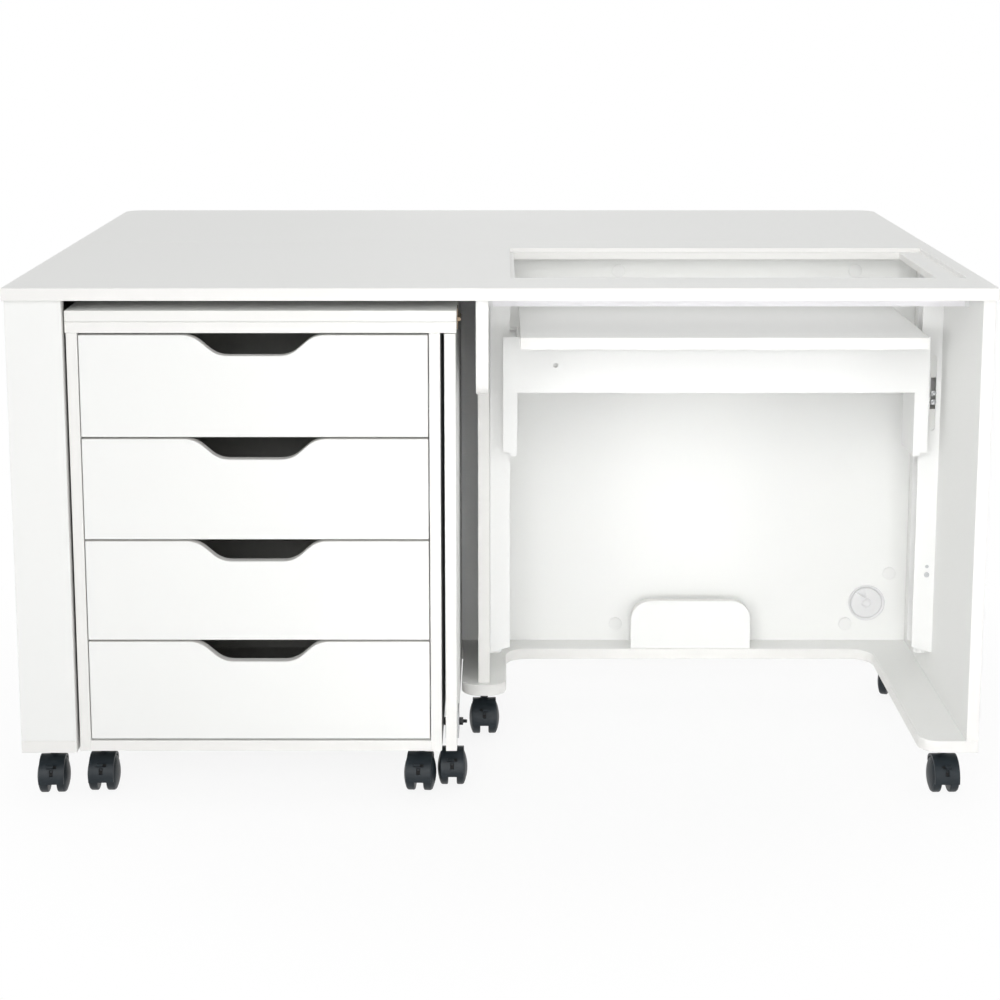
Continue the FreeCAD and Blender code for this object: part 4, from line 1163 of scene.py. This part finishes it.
class SEWINGTABLE_OT_caddy_fittings(bpy.types.Operator):
    """Make the caddy's hinges, straps and drawer rails"""

    bl_idname = "sewing_table.caddy_fittings"
    bl_label = "Caddy Fittings"

    def execute(self, context):
        node = "caddy_fittings"
        bolt_length = 22.0 * MM
        leaf_hinge_low = 690.0 * MM
        edge = 0.25 * MM
        bm = node_mesh(node)
        bolt = None
        for island in islands(bm):
            low, high = span(island)
            if low.z > leaf_hinge_low:
                for face in island:
                    face.material_index = 1
            elif high.x - low.x > bolt_length:
                bolt = (low.copy(), high.copy())
                bmesh.ops.delete(bm, geom=island, context="FACES")
        if bolt is None:
            self.report({"ERROR"}, "The gate's bolt is missing from the frame")
            raise RuntimeError("no bolt among the caddy fittings")
        dress(node, "plates", bm, (zinc(), bronze()), edge)
        self.make_bolt(node, *bolt)
        make_fitting("runner_rails", (zinc(),), radius=edge, suffix="rails")
        return {"FINISHED"}

    def make_bolt(self, node, low, high):
        """Hexagon head, nut and threaded end of the bolt through the gate."""
        nut = 3.0 * MM
        head = 6.0 * MM
        thread = 3.0 * MM
        root = 0.8 * thread
        pitch = 0.8 * MM
        chamfer = 0.7 * MM
        edge = 0.2 * MM
        sides = 6
        thread_steps = 24
        radius = (high.y - low.y) / 2.0
        y = (low.y + high.y) / 2.0
        z = (low.z + high.z) / 2.0
        bm = bmesh.new()
        for x, height in ((low.x, nut), (high.x - 2.0 * head, head)):
            profile = [
                (0.0, 0.0),
                (radius - chamfer, 0.0),
                (radius, chamfer / 2.0),
                (radius, height - chamfer / 2.0),
                (radius - chamfer, height),
                (0.0, height),
            ]
            lathe(bm, profile, upright_matrix(Vector((x, y, z)), RIGHT), sides)
        profile = [(0.0, 0.0)]
        for turn in range(int(head / pitch) - 1):
            profile.append((thread, turn * pitch))
            profile.append((root, (turn + 0.5) * pitch))
        profile.append((root, head))
        profile.append((0.0, head))
        lathe(bm, profile, upright_matrix(Vector((high.x - head, y, z)), RIGHT), thread_steps)
        finish_piece(f"{node}.bolt", bm, (black_screw(),), BODY_OF[node], radius=edge)


class SEWINGTABLE_OT_casters(bpy.types.Operator):
    """Make the ten twin-wheel casters"""

    bl_idname = "sewing_table.casters"
    bl_label = "Casters"

    def execute(self, context):
        for name in CASTERS:
            self.make_hood(name)
            self.make_wheels(name)
        return {"FINISHED"}

    def make_hood(self, name):
        """The moulded hood of a caster, with its lever."""
        node = f"caster_{name}_hood"
        make_fitting(node, (charcoal_nylon(),), radius=casters_look().edge_radius, suffix="moulding")
        self.make_lever(name, node)

    def hood_matrix(self, name):
        """Frame on the floor below the axle: X to the right of someone who faces the hood, Y inwards."""
        stem = Vector(JOINTS[f"{name}_swivel"]["pos_m"])
        axle = Vector(JOINTS[f"{name}_wheel_spin"]["pos_m"])
        inward = Vector((stem.x - axle.x, stem.y - axle.y, 0.0)).normalized()
        up = Vector((0.0, 0.0, 1.0))
        turn = Matrix((inward.cross(up), inward, up)).transposed().to_4x4()
        return Matrix.Translation(Vector((axle.x, axle.y, 0.0))) @ turn

    def make_lever(self, name, node):
        """Release lever in the hood's upper recess, a peg in the lower one, and near-black sheets on their floors
        that paint the recesses' shade.
        """
        axle = 26.0 * MM
        edge = 0.5 * MM
        left_casters = -50.0 * MM
        lever_shift = 2.4 * MM
        bar = math.radians(40.0)
        peg = math.radians(28.3)
        hole = math.radians(22.9)
        frame = self.hood_matrix(name)
        shift = -lever_shift if frame.translation.x < left_casters else lever_shift
        # Each row: shift to the side, distance and angle from the axle, size, finish
        parts = (
            (shift, 30.0 * MM, bar, Vector((9.6, 3.4, 4.0)) * MM, 0),
            (0.0, 29.1 * MM, peg, Vector((2.8, 2.6, 2.4)) * MM, 0),
            # The last two rows are thin near-black sheets in the recesses' floors: painted shade of the recesses,
            # not parts.
            (0.0, 28.3 * MM, bar, Vector((14.6, 0.2, 5.0)) * MM, 1),
            (0.0, 28.2 * MM, hole, Vector((5.2, 0.2, 8.6)) * MM, 1),
        )
        bm = bmesh.new()
        for x, radius, angle, size, index in parts:
            spot = Vector((x, -radius * math.cos(angle), axle + radius * math.sin(angle)))
            place = frame @ Matrix.Translation(spot) @ Matrix.Rotation(-angle, 4, "X")
            made = block(bm, place, size)
            for face in {face for vert in made["verts"] for face in vert.link_faces}:
                face.material_index = index
        # The second finish is the painted shade of the recesses.
        finishes = (charcoal_nylon(), painted_recess_shade())
        finish_piece(f"{node}.lever", bm, finishes, BODY_OF[node], radius=edge)

    def make_wheels(self, name):
        """A pair of wheels on their pin."""
        pin = 3.0 * MM
        reach = 9.0 * MM
        pin_steps = 24
        edge = 0.4 * MM
        node = f"caster_{name}_wheels"
        spin = JOINTS[f"{name}_wheel_spin"]
        centre = Vector(spin["pos_m"])
        axle = Vector(spin["axis"])
        width = self.measure_width(node, centre, axle)
        bm = bmesh.new()
        for side in (1.0, -1.0):
            lathe(bm, self.wheel_profile(width), upright_matrix(centre, axle * side))
        profile = [(0.0, -reach), (pin, -reach), (pin, reach), (0.0, reach)]
        lathe(bm, profile, upright_matrix(centre, axle), pin_steps)
        dress(node, "moulding", bm, (charcoal_nylon(),), edge)

    def measure_width(self, node, centre, axle):
        """Reach of a wheel pair along its axle."""
        mesh = FRAME["nodes"][node].data
        return max((vert.co - centre).dot(axle) for vert in mesh.vertices)

    def wheel_profile(self, width):
        """Half of the wheel pair: tread, rounded shoulder, and a dome with a ring groove."""
        tread = 26.0 * MM
        inner = 6.5 * MM
        dome = 5.8 * MM
        lip = 2.2 * MM
        lip_steps = 4
        shoulder = tread - 2.0 * MM
        ring_out = tread - 3.2 * MM
        ring_in = tread - 4.4 * MM
        ring_slope = 0.25 * MM
        sphere = (dome * dome + tread * tread) / (2.0 * dome)
        groove = casters_look().groove_depth

        def height(radius):
            return width - sphere + math.sqrt(sphere * sphere - radius * radius)

        profile = [(0.0, inner)]
        for step in range(lip_steps + 1):
            angle = 0.5 * math.pi * step / lip_steps
            profile.append((tread - lip + lip * math.sin(angle), inner + lip - lip * math.cos(angle)))
        for inset, drop in ((0.0, 2.4), (0.3, 1.1), (1.0, 0.1)):
            profile.append((tread - inset * MM, height(tread) - drop * MM))
        profile.append((shoulder, height(shoulder)))
        profile.append((ring_out, height(ring_out)))
        profile.append((ring_out - ring_slope, height(ring_out) - groove))
        profile.append((ring_in + ring_slope, height(ring_in) - groove))
        profile.append((ring_in, height(ring_in)))
        for share in (0.85, 0.7, 0.55, 0.4, 0.25, 0.12):
            radius = ring_in * share
            profile.append((radius, height(radius)))
        profile.append((0.0, height(0.0)))
        return profile


class SEWINGTABLE_OT_stage(bpy.types.Operator):
    """Make the floor, the lamps, the sky and the camera"""

    bl_idname = "sewing_table.stage"
    bl_label = "Studio"

    def execute(self, context):
        scene = context.scene
        scene.view_settings.view_transform = "Standard"
        look = scene.sewing_table_stage
        self.make_floor(scene, look)
        self.make_sky(scene, look)
        self.make_lamps(scene, look)
        self.make_camera(scene, look)
        return {"FINISHED"}

    def make_lamps(self, scene, look):
        """Square lamps around the table, the three narrow ones with grids."""
        grid_size = 0.8
        middle = (0.0, -0.25, 0.5)
        right_upright = (0.69, -0.25, 0.42)
        centre_upright = (0.0, -0.2, 0.42)
        knee = (0.3, 0.0, 0.26)
        back = (0.0, 0.0, 0.4)
        wide = math.pi
        # Each row: name, power, size, place, aim, spread
        lamps = (
            ("Left lamp", look.left_power, grid_size, (-2.0, -4.2, 1.1), right_upright, look.side_spread),
            ("Right lamp", look.right_power, grid_size, (2.7, -4.2, 1.1), centre_upright, look.side_spread),
            ("Knee lamp", look.knee_power, grid_size, (0.3, -5.2, 0.4), knee, look.knee_spread),
            ("Front lamp", look.front_power, 3.0, (0.0, -8.0, 1.1), middle, wide),
            ("High lamp", look.high_power, 2.4, (-0.6, -5.0, 2.9), middle, wide),
            ("Rear lamp", look.rear_power, 2.4, (0.5, 2.6, 3.8), middle, wide),
            ("Back lamp", look.back_power, 1.0, (0.0, 4.5, 0.52), back, wide),
        )
        for name, power, size, spot, aim, spread in lamps:
            lamp = bpy.data.lights.new(name, "AREA")
            lamp.energy = power
            lamp.shape = "SQUARE"
            lamp.size = size
            lamp.spread = spread
            item = bpy.data.objects.new(name, lamp)
            item.location = spot
            item.rotation_euler = (Vector(aim) - Vector(spot)).to_track_quat("-Z", "Y").to_euler()
            scene.collection.objects.link(item)
        bpy.data.objects["Back lamp"].visible_camera = False

    def seen_mask(self, tree):
        """One where the camera sees a surface, straight or through a reflection or glass."""
        path = tree.nodes.new("ShaderNodeLightPath").outputs
        mirrored = math_node(tree, "MAXIMUM", path["Is Glossy Ray"], path["Is Transmission Ray"])
        return math_node(tree, "MAXIMUM", path["Is Camera Ray"], mirrored)

    def make_floor(self, scene, look):
        """A white floor that keeps the table's shadow and is clear from below."""
        half_width = 12.0
        shadow_reach = 0.6
        white_reach = 1.15
        bm = bmesh.new()
        bmesh.ops.create_grid(bm, x_segments=1, y_segments=1, size=half_width)
        mesh = bpy.data.meshes.new("Floor")
        bm.to_mesh(mesh)
        bm.free()
        material = bpy.data.materials.new("Studio floor")
        material.use_nodes = True
        tree = material.node_tree
        tree.nodes.clear()
        out = tree.nodes.new("ShaderNodeOutputMaterial")
        matt = tree.nodes.new("ShaderNodeBsdfDiffuse")
        matt.inputs["Color"].default_value = (*look.floor_colour, 1.0)
        white = tree.nodes.new("ShaderNodeEmission")
        mix = tree.nodes.new("ShaderNodeMixShader")
        place = tree.nodes.new("ShaderNodeTexCoord")
        reach = tree.nodes.new("ShaderNodeVectorMath")
        reach.operation = "LENGTH"
        tree.links.new(place.outputs["Object"], reach.inputs[0])
        fade = tree.nodes.new("ShaderNodeMapRange")
        fade.interpolation_type = "SMOOTHSTEP"
        fade.inputs["From Min"].default_value = shadow_reach
        fade.inputs["From Max"].default_value = white_reach
        fade.inputs["To Min"].default_value = look.floor_white
        tree.links.new(reach.outputs["Value"], fade.inputs["Value"])
        share = math_node(tree, "MULTIPLY", fade.outputs["Result"], self.seen_mask(tree))
        tree.links.new(share, mix.inputs["Fac"])
        tree.links.new(matt.outputs[0], mix.inputs[1])
        tree.links.new(white.outputs[0], mix.inputs[2])
        side = tree.nodes.new("ShaderNodeNewGeometry")
        clear = tree.nodes.new("ShaderNodeBsdfTransparent")
        one_sided = tree.nodes.new("ShaderNodeMixShader")
        tree.links.new(side.outputs["Backfacing"], one_sided.inputs["Fac"])
        tree.links.new(mix.outputs[0], one_sided.inputs[1])
        tree.links.new(clear.outputs[0], one_sided.inputs[2])
        tree.links.new(one_sided.outputs[0], out.inputs["Surface"])
        mesh.materials.append(material)
        floor = bpy.data.objects.new("Floor", mesh)
        scene.collection.objects.link(floor)

    def make_sky(self, scene, look):
        """Even light from all sides, seen as plain white."""
        world = bpy.data.worlds.new("Studio sky")
        scene.world = world
        world.use_nodes = True
        tree = world.node_tree
        tree.nodes.clear()
        out = tree.nodes.new("ShaderNodeOutputWorld")
        sky = tree.nodes.new("ShaderNodeBackground")
        dim = look.sky_strength
        strength = math_node(tree, "MULTIPLY_ADD", self.seen_mask(tree), 1.0 - dim, dim)
        tree.links.new(strength, sky.inputs["Strength"])
        sky.inputs["Color"].default_value = (1.0, 1.0, 1.0, 1.0)
        tree.links.new(sky.outputs[0], out.inputs["Surface"])

    def make_camera(self, scene, look):
        """A camera that looks slightly down on the table from the front."""
        camera = bpy.data.cameras.new("Camera")
        camera.sensor_width = SENSOR_WIDTH
        camera.lens = look.camera_lens
        camera.shift_y = look.camera_rise
        item = bpy.data.objects.new("Camera", camera)
        item.location = (0.0, CAD_BOX[0].y - look.camera_distance, look.camera_height)
        item.rotation_euler = (math.pi / 2.0 - look.camera_pitch, 0.0, 0.0)
        scene.collection.objects.link(item)
        scene.camera = item


class SEWINGTABLE_PT_sidebar(bpy.types.Panel):
    """Lists the steps that dress the table"""

    bl_idname = "SEWINGTABLE_PT_sidebar"
    bl_label = "Sewing Table"
    bl_space_type = "VIEW_3D"
    bl_region_type = "UI"
    bl_category = "Sewing Table"

    def draw(self, context):
        for step in STEPS:
            self.layout.operator(step.bl_idname)
        for label, look in LOOKS.items():
            settings = getattr(context.scene, label)
            column = self.layout.column()
            for field in look.__annotations__:
                column.prop(settings, field)


STEPS = (
    SEWINGTABLE_OT_worktop,
    SEWINGTABLE_OT_stand,
    SEWINGTABLE_OT_caddy,
    SEWINGTABLE_OT_drawers,
    SEWINGTABLE_OT_leaf_fittings,
    SEWINGTABLE_OT_lift,
    SEWINGTABLE_OT_gas_springs,
    SEWINGTABLE_OT_trim,
    SEWINGTABLE_OT_caddy_fittings,
    SEWINGTABLE_OT_casters,
    SEWINGTABLE_OT_stage,
)
CLASSES = (*LOOKS.values(), *STEPS, SEWINGTABLE_PT_sidebar)


def register():
    for item in CLASSES:
        bpy.utils.register_class(item)
    for label, look in LOOKS.items():
        setattr(bpy.types.Scene, label, bpy.props.PointerProperty(type=look))


def unregister():
    for label in LOOKS:
        delattr(bpy.types.Scene, label)
    for item in reversed(CLASSES):
        bpy.utils.unregister_class(item)


def main():
    """Dress the table step by step."""
    register()
    bpy.ops.sewing_table.worktop()
    bpy.ops.sewing_table.stand()
    bpy.ops.sewing_table.caddy()
    bpy.ops.sewing_table.drawers()
    bpy.ops.sewing_table.leaf_fittings()
    bpy.ops.sewing_table.lift()
    bpy.ops.sewing_table.gas_springs()
    bpy.ops.sewing_table.trim()
    bpy.ops.sewing_table.caddy_fittings()
    bpy.ops.sewing_table.casters()
    bpy.ops.sewing_table.stage()


if __name__ == "__main__":
    main()
